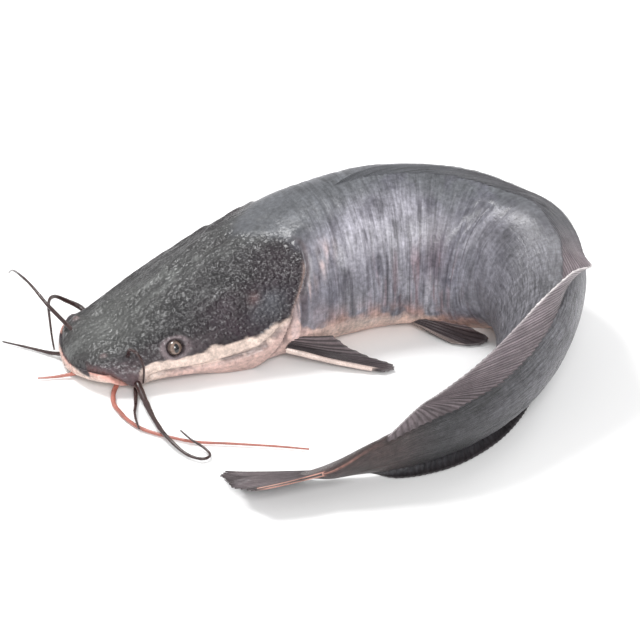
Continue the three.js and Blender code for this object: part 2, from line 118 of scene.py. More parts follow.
# The tail fin's root reaches this share of the way up and down the end of the tail.
TAIL_ROOT_SHARE = 0.85
PECTORAL = dict(station=0.215, angle=188, length=46, root=3.4, rays=[
    (53, 0.94, 1.9), (57, 1.02, 1.7), (61, 1, 1.8), (65, 0.8, 3.2), (70, 0.6, 6.5), (77, 0.46, 11)])
PELVIC = dict(station=0.4, angle=220, length=32, root=2.2, rays=[
    (50, 0.66, 1.4), (56, 0.9, 1.4), (63, 1.04, 1.4), (70, 1.08, 1.6), (77, 0.86, 2.6), (82, 0.66, 4.6)])

# Whiskers: a raised route holds (station, angle, distance off the skin), and a lying route holds
# (outwards, backwards, height over the table) from its root.
WHISKERS = [
    dict(name="left_nasal_barbel", root=(0.052, 143), thickness=0.62, raised=[
        (0.05, 141, 5), (0.049, 139, 10), (0.053, 145, 11), (0.058, 157, 8), (0.06, 172, 5),
        (0.06, 188, 3.6)]),
    dict(name="right_nasal_barbel", root=(0.02, 62), thickness=0.62, lying=[
        (11, -6, 20), (24, -9, 24), (37, -10, 23), (51, -9, 18), (64, -7, 10)]),
    dict(name="left_maxillary_barbel", root=(0.055, 192), thickness=1, lying=[
        (3, 0, 5.5), (14, -1, 3.8), (28, -2.5, 3.6), (41, -2.5, 3.4), (53, 0.5, 1.9), (59, 5, 1.6),
        (58, 9, 1.6), (53, 8.5, 2.2), (47, 5.5, 3.4), (41, 3.5, 4.6)]),
    dict(name="right_maxillary_barbel", root=(0.055, -14), thickness=0.9, raised=[
        (0.05, 0, 5), (0.035, 14, 9), (0.02, 28, 14), (0.008, 36, 17), (0, 30, 18), (0, 16, 15), (0, 4, 13)]),
    dict(name="left_outer_mandibular_barbel", root=(0.06, 214), thickness=0.75, lying=[
        (3, -2, 2.6), (13, -6, 1.4), (20, -9, 2.6), (27, -11, 3.1), (33, -12, 3.1)]),
    dict(name="right_outer_mandibular_barbel", root=(0.012, -78), thickness=0.75, lying=[
        (4, -2, 3), (10, -6, 1.6), (19, -13, 1.2), (28, -21, 1.2)]),
    dict(name="left_inner_mandibular_barbel", root=(0.04, 219), thickness=0.7, lying=[
        (4, -3.5, 2), (11, -6, 1.2), (18, -6, 1.2), (26, -5, 1.2), (34, -2, 1.2), (42, 4, 1.2), (51, 13, 1.2),
        (58, 25, 1.2), (67, 40, 1.2), (75, 52, 1.2)]),
    dict(name="right_inner_mandibular_barbel", root=(0.012, -105), thickness=0.7, lying=[
        (1, -4, 2), (3, -10, 1.2), (5, -17, 1.2)]),
]

# ---- Settings a user would change ---------------------------------------------------------


def colour_property(name, text, value):
    return FloatVectorProperty(name=name, description=text, subtype="COLOR", size=3, min=0, max=1,
                               default=value)


def count_property(name, text, value, low, high):
    return IntProperty(name=name, description=text, default=value, min=low, max=high)


def length_property(name, text, value, low, high):
    return FloatProperty(name=name, description=text, unit="LENGTH", default=value, min=low, max=high,
                         precision=5)


class FISH_PG_skin(bpy.types.PropertyGroup):
    """Colours and relief of the skin."""
    back: colour_property("Back", "Colour along the ridge of the back", (0.085, 0.089, 0.098))
    skull: colour_property("Skull", "Colour of the bony top of the head", (0.021, 0.019, 0.021))
    cheek: colour_property("Cheek", "Colour of the gill cover", (0.019, 0.011, 0.016))
    flank: colour_property("Flank", "Colour of the side of the trunk", (0.165, 0.162, 0.19))
    silver: colour_property("Silver", "Colour of the silvery patch on the trunk", (0.31, 0.3, 0.34))
    tail: colour_property("Tail", "Colour of the side of the tail", (0.11, 0.108, 0.12))
    belly: colour_property("Belly", "Colour of the underside", (0.70, 0.56, 0.49))
    lip: colour_property("Lip", "Colour of the lips", (0.68, 0.46, 0.4))
    relief: FloatProperty(name="Relief", description="Strength of ridges and folds", default=1.0,
                          min=0, max=2)
    rings: count_property("Rings", "Rings along the body", 408, 60, 420)
    round: count_property("Points", "Points round the body", 240, 40, 300)


class FISH_PG_fins(bpy.types.PropertyGroup):
    """Sizes and colours of the fins."""
    dorsal_rays: count_property("Dorsal rays", "Rays in the dorsal fin", 84, 10, 90)
    anal_rays: count_property("Anal rays", "Rays in the anal fin", 50, 10, 70)
    tail_rays: count_property("Tail rays", "Rays in the tail fin", 18, 6, 30)
    pectoral_rays: count_property("Pectoral rays", "Rays in a pectoral fin", 11, 4, 14)
    pelvic_rays: count_property("Pelvic rays", "Rays in a pelvic fin", 6, 3, 10)
    ray_radius: length_property("Ray radius", "Radius of a ray at its root", 0.0003, 0.0001, 0.002)
    root_thickness: length_property("Root thickness", "Thickness of a fin at its root", 0.0018, 0.0005, 0.004)
    edge_thickness: length_property("Edge thickness", "Thickness of a fin at its edge", 0.0005, 0.0002, 0.002)
    membrane: colour_property("Membrane", "Colour of the fin membranes", (0.185, 0.155, 0.168))
    ray: colour_property("Rays", "Colour of the rays", (0.04, 0.03, 0.032))
    margin: colour_property("Margin", "Colour of the thin free edge", (0.62, 0.58, 0.58))
    spine: colour_property("Spine", "Colour of the pectoral spine and the pale tail edge", (0.62, 0.5, 0.45))


class FISH_PG_whiskers(bpy.types.PropertyGroup):
    """Sizes and colours of the whiskers."""
    root_radius: length_property("Root radius", "Radius of the thickest whisker at its root",
                                 0.0018, 0.0005, 0.004)
    tip_radius: length_property("Tip radius", "Radius of a whisker at its tip", 0.00035, 0.0001, 0.001)
    upper: colour_property("Upper", "Colour of the dark whiskers", (0.028, 0.009, 0.008))
    lower: colour_property("Lower", "Colour of the inner whiskers under the chin", (0.36, 0.12, 0.09))


class FISH_PG_eyes(bpy.types.PropertyGroup):
    """Colours of the eyes."""
    iris: colour_property("Iris", "Colour of the iris", (0.15, 0.105, 0.085))
    ring: colour_property("Ring", "Colour of the ring round the iris", (0.085, 0.062, 0.066))
    pupil: colour_property("Pupil", "Colour of the pupil", (0.006, 0.006, 0.008))


class FISH_PG_stage(bpy.types.PropertyGroup):
    """Floor, camera and lights."""
    floor: colour_property("Floor", "Colour of the floor", (0.87, 0.87, 0.87))
    distance: length_property("Distance", "From the camera to the fish", 0.9, 0.3, 5)
    elevation: FloatProperty(name="Elevation", description="Camera's height angle", subtype="ANGLE",
                             default=math.radians(30), min=0, max=math.radians(90))
    lens: FloatProperty(name="Lens", description="Focal length in millimetres", default=121.5,
                        min=20, max=300)


# ---- Curves and points along the fish -----------------------------------------------------


def along(keys, x):
    """Value at x of the smooth curve through (x, value) keys, with no overshoot between them."""
    xs = np.array([key[0] for key in keys], float)
    ys = np.array([key[1] for key in keys], float)
    slope = np.diff(ys) / np.diff(xs)
    tangent = np.empty(len(xs))
    tangent[0] = slope[0]
    tangent[-1] = slope[-1]
    for i in range(1, len(xs) - 1):
        same = slope[i - 1] * slope[i] > 0
        tangent[i] = 2 / (1 / slope[i - 1] + 1 / slope[i]) if same else 0
    x = np.clip(np.asarray(x, float), xs[0], xs[-1])
    i = np.clip(np.searchsorted(xs, x, side="right") - 1, 0, len(xs) - 2)
    width = xs[i + 1] - xs[i]
    t = (x - xs[i]) / width
    return ((2 * t**3 - 3 * t**2 + 1) * ys[i] + (t**3 - 2 * t**2 + t) * width * tangent[i]
            + (3 * t**2 - 2 * t**3) * ys[i + 1] + (t**3 - t**2) * width * tangent[i + 1])


def spine_line():
    """Stations and plan points of the spine line, with the origin station at (0, 0)."""
    steps = 452
    heading = np.radians(along(HEADING, (np.arange(steps) + 0.5) * LAST_STATION / steps))
    step = STANDARD_LENGTH * LAST_STATION / steps
    walk = np.cumsum(np.stack([np.cos(heading), np.sin(heading)], 1) * step, axis=0)
    walk = np.vstack([[0, 0], walk])
    stations = np.linspace(0, LAST_STATION, steps + 1)
    origin = [np.interp(ORIGIN_STATION, stations, walk[:, k]) for k in (0, 1)]
    return stations, walk - origin


SPINE = spine_line()


def section(station, angle, grow):
    """A section's outline: across to the fish's right, and up. Angles run from its right side."""
    share = np.minimum(station * STANDARD_LENGTH / NOSE_LENGTH, 1)
    rounding = np.sqrt(1 - (1 - share) ** 2)
    cosine, sine = np.cos(angle), np.sin(angle)
    upper = sine >= 0
    profile = np.where(upper, along(BACK_PROFILE, station), along(BELLY_PROFILE, station))
    power = 2 / np.where(upper, along(BACK_SQUARENESS, station), along(BELLY_SQUARENESS, station))
    half = along(WIDTH_PROFILE, station) * BODY_WIDTH / 2 * rounding + grow
    high = profile * BODY_DEPTH * rounding + grow
    return (half * np.sign(cosine) * np.abs(cosine) ** power,
            high * np.sign(sine) * np.abs(sine) ** power)


def frames(station):
    """Middle points and directions of the sections at some stations."""
    station = np.atleast_1d(np.asarray(station, float))
    heading = np.radians(along(HEADING, station))
    lean = np.radians(along(LEAN, station))
    up = np.array([0.0, 0.0, 1.0])
    outward = np.stack([-np.sin(heading), np.cos(heading), np.zeros_like(heading)], -1)
    back = np.stack([np.cos(heading), np.sin(heading), np.zeros_like(heading)], -1)
    tall = outward * np.sin(lean)[:, None] + up * np.cos(lean)[:, None]
    right = outward * np.cos(lean)[:, None] - up * np.sin(lean)[:, None]
    turn = np.arange(96) * 2 * np.pi / 96
    across, rise = section(station[:, None], turn[None, :], 0)
    lowest = (across * right[:, 2:] + rise * tall[:, 2:]).min(1)
    place = np.stack([np.interp(station, SPINE[0], SPINE[1][:, k]) for k in (0, 1)], -1)
    middle = np.concatenate([place, (-lowest - along(PRESS, station))[:, None]], 1)
    return middle, right, tall, back, outward


def skin_points(station, degrees, grow=0.0):
    """Points on the skin, or off it by grow, in millimetres. The belly is pressed flat on the table."""
    station, degrees, grow = np.broadcast_arrays(np.asarray(station, float), degrees, grow)
    middle, right, tall, _, _ = frames(station.ravel())
    across, rise = section(station.ravel(), np.radians(degrees.ravel()), grow.ravel())
    points = middle + right * across[:, None] + tall * rise[:, None]
    points[:, 2] = np.maximum(points[:, 2], -grow.ravel())
    return points.reshape(station.shape + (3,))


def skin_point(station, degrees, grow=0.0):
    return skin_points(np.array([station]), degrees, grow)[0]


def on_side(angle, mirror):
    """Angles are given for the left side, and the right side mirrors them about the back."""
    return angle if mirror > 0 else 180 - angle


SIDES = (("left", 1), ("right", -1))

# ---- Small tools --------------------------------------------------------------------------


def ease(x, low, high):
    """0 below low and 1 above high, with a soft ramp between."""
    t = np.clip((np.asarray(x, float) - low) / (high - low), 0, 1)
    return t * t * (3 - 2 * t)


def between(low, high, share):
    return low + (high - low) * share


def hump(x, width):
    return np.exp(-(np.asarray(x, float) / width) ** 2)


def mix(a, b, share):
    """Blend of two arrays of colours."""
    share = np.clip(share, 0, 1)[..., None]
    return a * (1 - share) + np.asarray(b, float) * share


def spread(colour, like):
    """One colour at every point of a grid."""
    return np.broadcast_to(np.array(colour, float), like.shape + (3,))


def lattice_noise(x, y, seed):
    """Smooth noise from -1 to 1, one lump in each unit square."""
    table = np.random.default_rng(seed).uniform(-1, 1, (64, 64))
    i, j = np.floor(x).astype(int), np.floor(y).astype(int)
    u, v = x - i, y - j
    u, v = u * u * (3 - 2 * u), v * v * (3 - 2 * v)
    pick = lambda a, b: table[a % 64, b % 64]
    low = pick(i, j) * (1 - u) + pick(i + 1, j) * u
    high = pick(i, j + 1) * (1 - u) + pick(i + 1, j + 1) * u
    return low * (1 - v) + high * v


def rough_noise(x, y, seed, octaves=3):
    total = 0
    for k in range(octaves):
        total = total + lattice_noise(x * 2**k + 7.3 * k, y * 2**k + 3.1 * k, seed + k) / 2**k
    return total


def distance_to(points, line):
    """Distance from each point to the nearest stretch of a line of points."""
    best = np.full(points.shape[:-1], 1e9)
    for a, b in zip(line[:-1], line[1:]):
        step = b - a
        t = np.clip(((points - a) @ step) / max(step @ step, 1e-9), 0, 1)
        best = np.minimum(best, np.linalg.norm(points - a - t[..., None] * step, axis=-1))
    return best


def skin_line(keys, mirror, count=40):
    """A line on the skin through (station, degrees down from the back) keys."""
    pick = np.linspace(0, len(keys) - 1, count)
    order = np.arange(len(keys))
    station = np.interp(pick, order, [key[0] for key in keys])
    down = np.interp(pick, order, [key[1] for key in keys])
    return skin_points(station, 90 + mirror * down)


def link(obj):
    bpy.context.scene.collection.objects.link(obj)
    return obj


def new_mesh(name, points, faces, material, tint=None, masks=None, uv=None, smooth=True):
    """A mesh object from points in millimetres."""
    mesh = bpy.data.meshes.new(name)
    faces = [[int(corner) for corner in face] for face in faces]
    mesh.from_pydata((np.asarray(points).reshape(-1, 3) * MM).tolist(), [], faces)
    if smooth:
        mesh.polygons.foreach_set("use_smooth", np.ones(len(mesh.polygons), bool))
    for layer, values in (("tint", tint), ("masks", masks)):
        if values is not None:
            attribute = mesh.color_attributes.new(layer, "FLOAT_COLOR", "POINT")
            attribute.data.foreach_set("color", np.asarray(values, np.float32).reshape(-1, 4).ravel())
    if uv is not None:
        corners = np.empty(len(mesh.loops), np.int32)
        mesh.loops.foreach_get("vertex_index", corners)
        layer = mesh.uv_layers.new(name="Skin")
        layer.data.foreach_set("uv", np.asarray(uv, np.float32).reshape(-1, 2)[corners].ravel())
    mesh.materials.append(material)
    mesh.validate()
    mesh.update()
    return link(bpy.data.objects.new(name, mesh))


def ring_faces(rings, count):
    """Quads between closed rings of points that follow each other."""
    r, i = np.meshgrid(np.arange(rings - 1), np.arange(count), indexing="ij")
    n = (i + 1) % count
    quads = np.stack([r * count + i, (r + 1) * count + i, (r + 1) * count + n, r * count + n], -1)
    return quads.reshape(-1, 4).tolist()


def outward_normals(obj):
    """Turn the faces of a closed mesh outwards."""
    work = bmesh.new()
    work.from_mesh(obj.data)
    bmesh.ops.recalc_face_normals(work, faces=work.faces)
    work.to_mesh(obj.data)
    work.free()


def closed_skin(name, grid, ends, *looks):
    """A closed mesh over rings of points, with a fan of faces to one more point at each end."""
    rings, count = grid.shape[:2]
    faces = ring_faces(rings, count)
    first, last, rear = rings * count, rings * count + 1, (rings - 1) * count
    for i in range(count):
        n = (i + 1) % count
        faces.append([first, i, n])
        faces.append([last, rear + n, rear + i])
    made = new_mesh(name, np.vstack([grid.reshape(-1, 3), ends]), faces, *looks)
    outward_normals(made)
    return made


def finished(piece, slot, *nodes):
    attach(piece, BODY)
    if nodes:
        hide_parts(*nodes)


def with_alpha(colour):
    return np.concatenate([colour, np.ones(colour.shape[:-1] + (1,))], -1)


# ---- Materials ----------------------------------------------------------------------------


COLOUR, NUMBER = "NodeSocketColor", "NodeSocketFloat"
SHAPE, FINISH = "NodeSocketGeometry", "NodeSocketMaterial"


def once(shelf, name):
    """Makes a node group or material the first time it is asked for, and finds it by name after that."""
    def wrap(make):
        return lambda: getattr(bpy.data, shelf).get(name) or make(name)
    return wrap


def new_group(name, kind, given, result):
    """An empty node group with its named sockets, and the sockets of its two end nodes."""
    group = bpy.data.node_groups.new(name, kind)
    for way, wanted in (("INPUT", given), ("OUTPUT", result)):
        for title, value in wanted.items():
            plain = isinstance(value, str)
            number = "NodeSocketInt" if isinstance(value, int) else NUMBER
            made = group.interface.new_socket(name=title, in_out=way, socket_type=value if plain else number)
            if not plain:
                made.default_value = value
    return group, group.nodes.new("NodeGroupInput").outputs, group.nodes.new("NodeGroupOutput").inputs


def add(tree, kind, values=(), **settings):
    """The outputs of a new node. Its inputs take numbers, or the sockets that are linked to them."""
    node = tree.nodes.new(kind)
    for name, value in settings.items():
        setattr(node, name, value)
    for name, value in dict(values).items():
        if isinstance(value, bpy.types.NodeSocket):
            tree.links.new(value, node.inputs[name])
        else:
            node.inputs[name].default_value = value
    return node.outputs


def maths(tree, operation, *values):
    return add(tree, "ShaderNodeMath", enumerate(values), operation=operation)[0]


def toned(tree, colour, share):
    """A colour made lighter or darker by a share that changes over the surface."""
    return add(tree, "ShaderNodeVectorMath", {0: colour, "Scale": share}, operation="SCALE")[0]


@once("node_groups", "Mottle")
def mottle_group(name):
    """Uneven colour at two sizes, and the height of the finer one."""
    group, given, result = new_group(name, "ShaderNodeTree", {
        "Color": COLOUR, "Patch Scale": 60.0, "Patch Amount": 0.3, "Speckle Scale": 900.0,
        "Speckle Amount": 0.3}, {"Color": COLOUR, "Height": NUMBER})
    place = add(group, "ShaderNodeTexCoord")["Object"]
    shades = []
    for size, detail in (("Patch", 4.0), ("Speckle", 3.0)):
        noise = add(group, "ShaderNodeTexNoise", {
            "Vector": place, "Scale": given[size + " Scale"], "Detail": detail, "Roughness": 0.6})["Fac"]
        gain = maths(group, "MULTIPLY", given[size + " Amount"], 3.0)
        shades.append(maths(group, "MULTIPLY_ADD", maths(group, "SUBTRACT", noise, 0.5), gain, 1.0))
    group.links.new(toned(group, given["Color"], maths(group, "MULTIPLY", *shades)), result["Color"])
    group.links.new(noise, result["Height"])
    return group


@once("node_groups", "Streaks")
def streak_group(name):
    """Fine lines that run down the flank or along a fin, from the piece's own map."""
    group, given, result = new_group(name, "ShaderNodeTree", {
        "Color": COLOUR, "Mask": 1.0, "Along": 6.0, "Across": 0.6, "Amount": 0.5},
        {"Color": COLOUR, "Height": NUMBER})
    place = add(group, "ShaderNodeUVMap", uv_map="Skin")["UV"]
    stretch = add(group, "ShaderNodeCombineXYZ", {0: given["Along"], 1: given["Across"]})[0]
    stretched = add(group, "ShaderNodeVectorMath", {0: place, 1: stretch}, operation="MULTIPLY")[0]
    noise = add(group, "ShaderNodeTexNoise", {
        "Vector": stretched, "Scale": 1.0, "Detail": 5.0, "Roughness": 0.65, "Distortion": 0.4})["Fac"]
    lines = add(group, "ShaderNodeMapRange", {
        "Value": noise, "From Min": 0.3, "From Max": 0.7, "To Min": -1.0, "To Max": 1.0})[0]
    height = maths(group, "MULTIPLY", lines, given["Mask"])
    gain = maths(group, "MULTIPLY_ADD", height, given["Amount"], 1.0)
    group.links.new(toned(group, given["Color"], gain), result["Color"])
    group.links.new(height, result["Height"])
    return group


@once("node_groups", "Wet Film")
def wet_group(name):
    """Roughness that breaks up where a film of water lies."""
    group, given, result = new_group(name, "ShaderNodeTree", {"Dry": 0.45, "Wet": 0.2, "Scale": 120.0},
                                     {"Roughness": NUMBER})
    place = add(group, "ShaderNodeTexCoord")["Object"]
    noise = add(group, "ShaderNodeTexNoise", {"Vector": place, "Scale": given["Scale"], "Detail": 5.0})["Fac"]
    film = add(group, "ShaderNodeMapRange", {
        "Value": noise, "From Min": 0.35, "From Max": 0.65, "To Min": given["Wet"],
        "To Max": given["Dry"]})[0]
    group.links.new(film, result["Roughness"])
    return group


def mottled(tree, colour, patch_scale, patch_amount, speckle_scale, speckle_amount):
    return add(tree, "ShaderNodeGroup", {
        "Color": colour, "Patch Scale": patch_scale, "Patch Amount": patch_amount,
        "Speckle Scale": speckle_scale, "Speckle Amount": speckle_amount}, node_tree=mottle_group())


def streaked(tree, colour, mask, lengthwise, crosswise, amount):
    return add(tree, "ShaderNodeGroup", {
        "Color": colour, "Mask": mask, "Along": lengthwise, "Across": crosswise, "Amount": amount},
        node_tree=streak_group())


def attribute(tree, name):
    return add(tree, "ShaderNodeAttribute", attribute_type="GEOMETRY", attribute_name=name)["Color"]


def bump(tree, height, strength, depth, after=None):
    values = {"Strength": strength, "Distance": depth, "Height": height}
    if after:
        values["Normal"] = after
    return add(tree, "ShaderNodeBump", values)["Normal"]


def material(name, coat, coat_roughness=0.12, specular=0.5):
    """A new material and its shader, with the values that are the same all over the surface."""
    made = bpy.data.materials.new(name)
    made.use_nodes = True
    shader = made.node_tree.nodes["Principled BSDF"]
    shader.inputs["Coat Weight"].default_value = coat
    shader.inputs["Coat Roughness"].default_value = coat_roughness
    shader.inputs["Specular IOR Level"].default_value = specular
    return made, made.node_tree, shader


def wetted(tree, shader, colour, dry, wet, scale, normal=None):
    """Give the shader its colour, the wet film's roughness and its relief."""
    film = add(tree, "ShaderNodeGroup", {"Dry": dry, "Wet": wet, "Scale": scale}, node_tree=wet_group())[0]
    tree.links.new(colour, shader.inputs["Base Color"])
    tree.links.new(film, shader.inputs["Roughness"])
    if normal:
        tree.links.new(normal, shader.inputs["Normal"])


@once("materials", "Wet skin")
def skin_material(name):
    """Wet scaleless skin: granular on the skull, streaked down the flank."""
    made, tree, shader = material(name, coat=0.0, coat_roughness=0.2, specular=0.46)
    masks = add(tree, "ShaderNodeSeparateColor", {0: attribute(tree, "masks")})
    mottle = mottled(tree, attribute(tree, "tint"), 70.0, 0.45, 620.0, 0.5)
    streaks = streaked(tree, mottle["Color"], masks["Green"], 6.0, 0.7, 0.5)
    combed = streaked(tree, streaks["Color"], masks["Blue"], 1.3, 5.5, 0.8)
    place = add(tree, "ShaderNodeTexCoord")["Object"]
    grains = add(tree, "ShaderNodeTexVoronoi", {"Scale": 640.0, "Vector": place}, feature="SMOOTH_F1")
    granules = maths(tree, "MULTIPLY", grains["Distance"], masks["Red"])
    normal = bump(tree, granules, 1.0, -0.0012)
    normal = bump(tree, combed["Height"], 0.5, 0.0006, normal)
    normal = bump(tree, mottle["Height"], 0.35, 0.0006, normal)
    wetted(tree, shader, combed["Color"], 0.42, 0.29, 110.0, normal)
    return made


@once("materials", "Wet fin")
def fin_material(name):
    made, tree, shader = material(name, coat=0.08, coat_roughness=0.25, specular=0.3)
    mottle = mottled(tree, attribute(tree, "tint"), 90.0, 0.3, 1100.0, 0.25)
    streaks = streaked(tree, mottle["Color"], 1.0, 1.4, 0.5, 0.5)
    wetted(tree, shader, streaks["Color"], 0.55, 0.3, 200.0, bump(tree, streaks["Height"], 0.3, 0.0003))
    return made


def plain_tissue(name, colour):
    """Wet, uneven soft tissue of one colour."""
    if name in bpy.data.materials:
        return bpy.data.materials[name]
    made, tree, shader = material(name, coat=0.35, coat_roughness=0.15)
    mottle = mottled(tree, (*colour, 1), 160.0, 0.35, 1500.0, 0.3)
    wetted(tree, shader, mottle["Color"], 0.45, 0.25, 300.0, bump(tree, mottle["Height"], 0.3, 0.0003))
    return made


@once("materials", "Eye")
def eye_material(name):
    made, tree, shader = material(name, coat=0.6, coat_roughness=0.06)
    mottle = mottled(tree, attribute(tree, "tint"), 700.0, 0.3, 2600.0, 0.35)
    wetted(tree, shader, mottle["Color"], 0.25, 0.12, 500.0)
    return made


# ---- The skin of the body -----------------------------------------------------------------

MOUTH = [
    (0.003, 0), (0.0035, 20), (0.0045, 38), (0.013, 64), (0.024, 80), (0.032, 92), (0.044, 112), (0.052, 121),
]
GILL_EDGE = [
    (0, 0.205), (12, 0.222), (24, 0.241), (39, 0.252), (53, 0.251), (64, 0.243), (79, 0.228), (95, 0.212),
    (115, 0.195), (140, 0.178), (180, 0.165),
]
# The lip's height over the table at the very front of the snout.
FRONT_LIP_HEIGHT = 6.3
# Millimetres along the skin of the head in one degree down from the back.
HEAD_DEGREE = 0.55
# Where the pale underside begins, in degrees down from the back.
PALE_EDGE = [
    (0, 30), (0.013, 66), (0.024, 84), (0.032, 96), (0.044, 114), (0.052, 106), (0.063, 80), (0.093, 85),
    (0.124, 86),
    (0.146, 83), (0.169, 82), (0.19, 85), (0.206, 80), (0.222, 77), (0.245, 90), (0.28, 102), (0.32, 108),
    (0.38, 117), (0.43, 120), (0.51, 138), (0.56, 158), (0.62, 182), (1, 185),
]
# The fold under the pale edge of the gill membrane.
THROAT_FOLD = [(0.07, 101), (0.084, 97), (0.115, 97), (0.16, 93), (0.189, 91), (0.206, 87), (0.22, 81)]
SKULL_RIDGES = [
    ([(0.075, 6), (0.1, 5), (0.13, 8)], 0.8, 1.5), ([(0.138, 10), (0.16, 13), (0.185, 12)], 0.8, 1.6),
    ([(0.07, 44), (0.1, 48), (0.127, 50), (0.15, 44), (0.19, 36)], 0.9, 1.8),
    ([(0.012, 40), (0.03, 46), (0.05, 52), (0.075, 58)], 0.6, 1.4),
    ([(0.03, 12), (0.045, 22), (0.06, 34)], 0.6, 1.3),
    ([(0.02, 30), (0.05, 28), (0.075, 26)], 0.5, 1.4), ([(0.19, 22), (0.215, 30), (0.235, 40)], 0.6, 1.6),
]
SKULL_FURROWS = [
    ([(0.06, 0), (0.1, 0), (0.14, 0), (0.2, 0)], 0.9, 1.6), ([(0.085, 30), (0.12, 30), (0.16, 26)], 0.6, 2.4),
    ([(0.06, 60), (0.085, 55), (0.115, 58)], 0.4, 1.6), ([(0.05, 20), (0.056, 17)], 0.9, 1.3),
]
FLANK_FOLDS = [
    ([(0.522, 30), (0.515, 42), (0.5, 55), (0.49, 68), (0.492, 80)], 0.8, 1.5),
    ([(0.262, 30), (0.27, 50), (0.268, 70), (0.262, 84)], 0.7, 1.6),
    ([(0.28, 40), (0.289, 60), (0.285, 82)], 0.4, 1.5),
    ([(0.385, 96), (0.393, 110), (0.396, 124)], 1.2, 1.5),
    ([(0.55, 70), (0.56, 95), (0.57, 120)], 0.7, 1.8),
    ([(0.458, 90), (0.465, 110), (0.47, 130)], 0.6, 1.8),
]


# The skin runs on a little way over the root of the tail fin and thins out there.
TAIL_END = 1.03
# The skin's own map runs from 0 to this along the fish and round it.
SKIN_MAP = (38.5, 20)
# The head's rings end here. It takes this share of the rings, and the nose this many of them.
HEAD_END, HEAD_SHARE, NOSE_RINGS = 0.26, 0.42, 26


def thinned_tail(station, points):
    middle, right, tall, _, _ = frames(station[:, 0])
    t = ease(station[:, 0], 0.985, TAIL_END)
    offset = points - middle[:, None]
    across = (offset * right[:, None]).sum(-1)
    rise = (offset * tall[:, None]).sum(-1)
    across = across * (1 - 0.82 * t)[:, None]
    rise = rise * (1 - 0.08 * t)[:, None]
    return middle[:, None] + right[:, None] * across[..., None] + tall[:, None] * rise[..., None]


def body_stations(rings):
    """Ring places, close together on the head and wider apart behind it."""
    head = int(rings * HEAD_SHARE)
    nose = NOSE_LENGTH / STANDARD_LENGTH
    tip = nose * (1 - np.cos(np.linspace(0, np.pi / 2, NOSE_RINGS + 1)[1:]))
    front = np.linspace(nose, HEAD_END, head - NOSE_RINGS + 1)[1:]
    rear = np.linspace(HEAD_END, TAIL_END, rings - head + 1)[1:]
    return np.concatenate([tip, front, rear])


def smooth_normals(points):
    """Outward normals of a grid of points that closes on itself round the body."""
    ahead = np.gradient(points, axis=0)
    closed = np.concatenate([points[:, -1:], points, points[:, :1]], 1)
    round_ = np.gradient(closed, axis=1)[:, 1:-1]
    normal = np.cross(round_, ahead)
    normal /= np.linalg.norm(normal, axis=-1, keepdims=True) + 1e-12
    outward = points - points.mean(1, keepdims=True)
    flip = np.sign((normal * outward).sum(-1).mean())
    return normal * flip


def gap_to_spot(points, station, degrees):
    """Distance from each point to one spot on the skin."""
    return np.linalg.norm(points - skin_point(station, degrees), axis=-1)


def gap_to_root(points, side, name):
    """Distance from each point to the root of one whisker."""
    word = "left" if side > 0 else "right"
    return gap_to_spot(points, *next(w["root"] for w in WHISKERS if w["name"] == f"{word}_{name}_barbel"))


def patch_at(station, down, middle, degrees, length, height):
    """A round patch on the side of the head, its length and height in millimetres."""
    return hump((station - middle) * STANDARD_LENGTH, length) * hump((down - degrees) * HEAD_DEGREE, height)


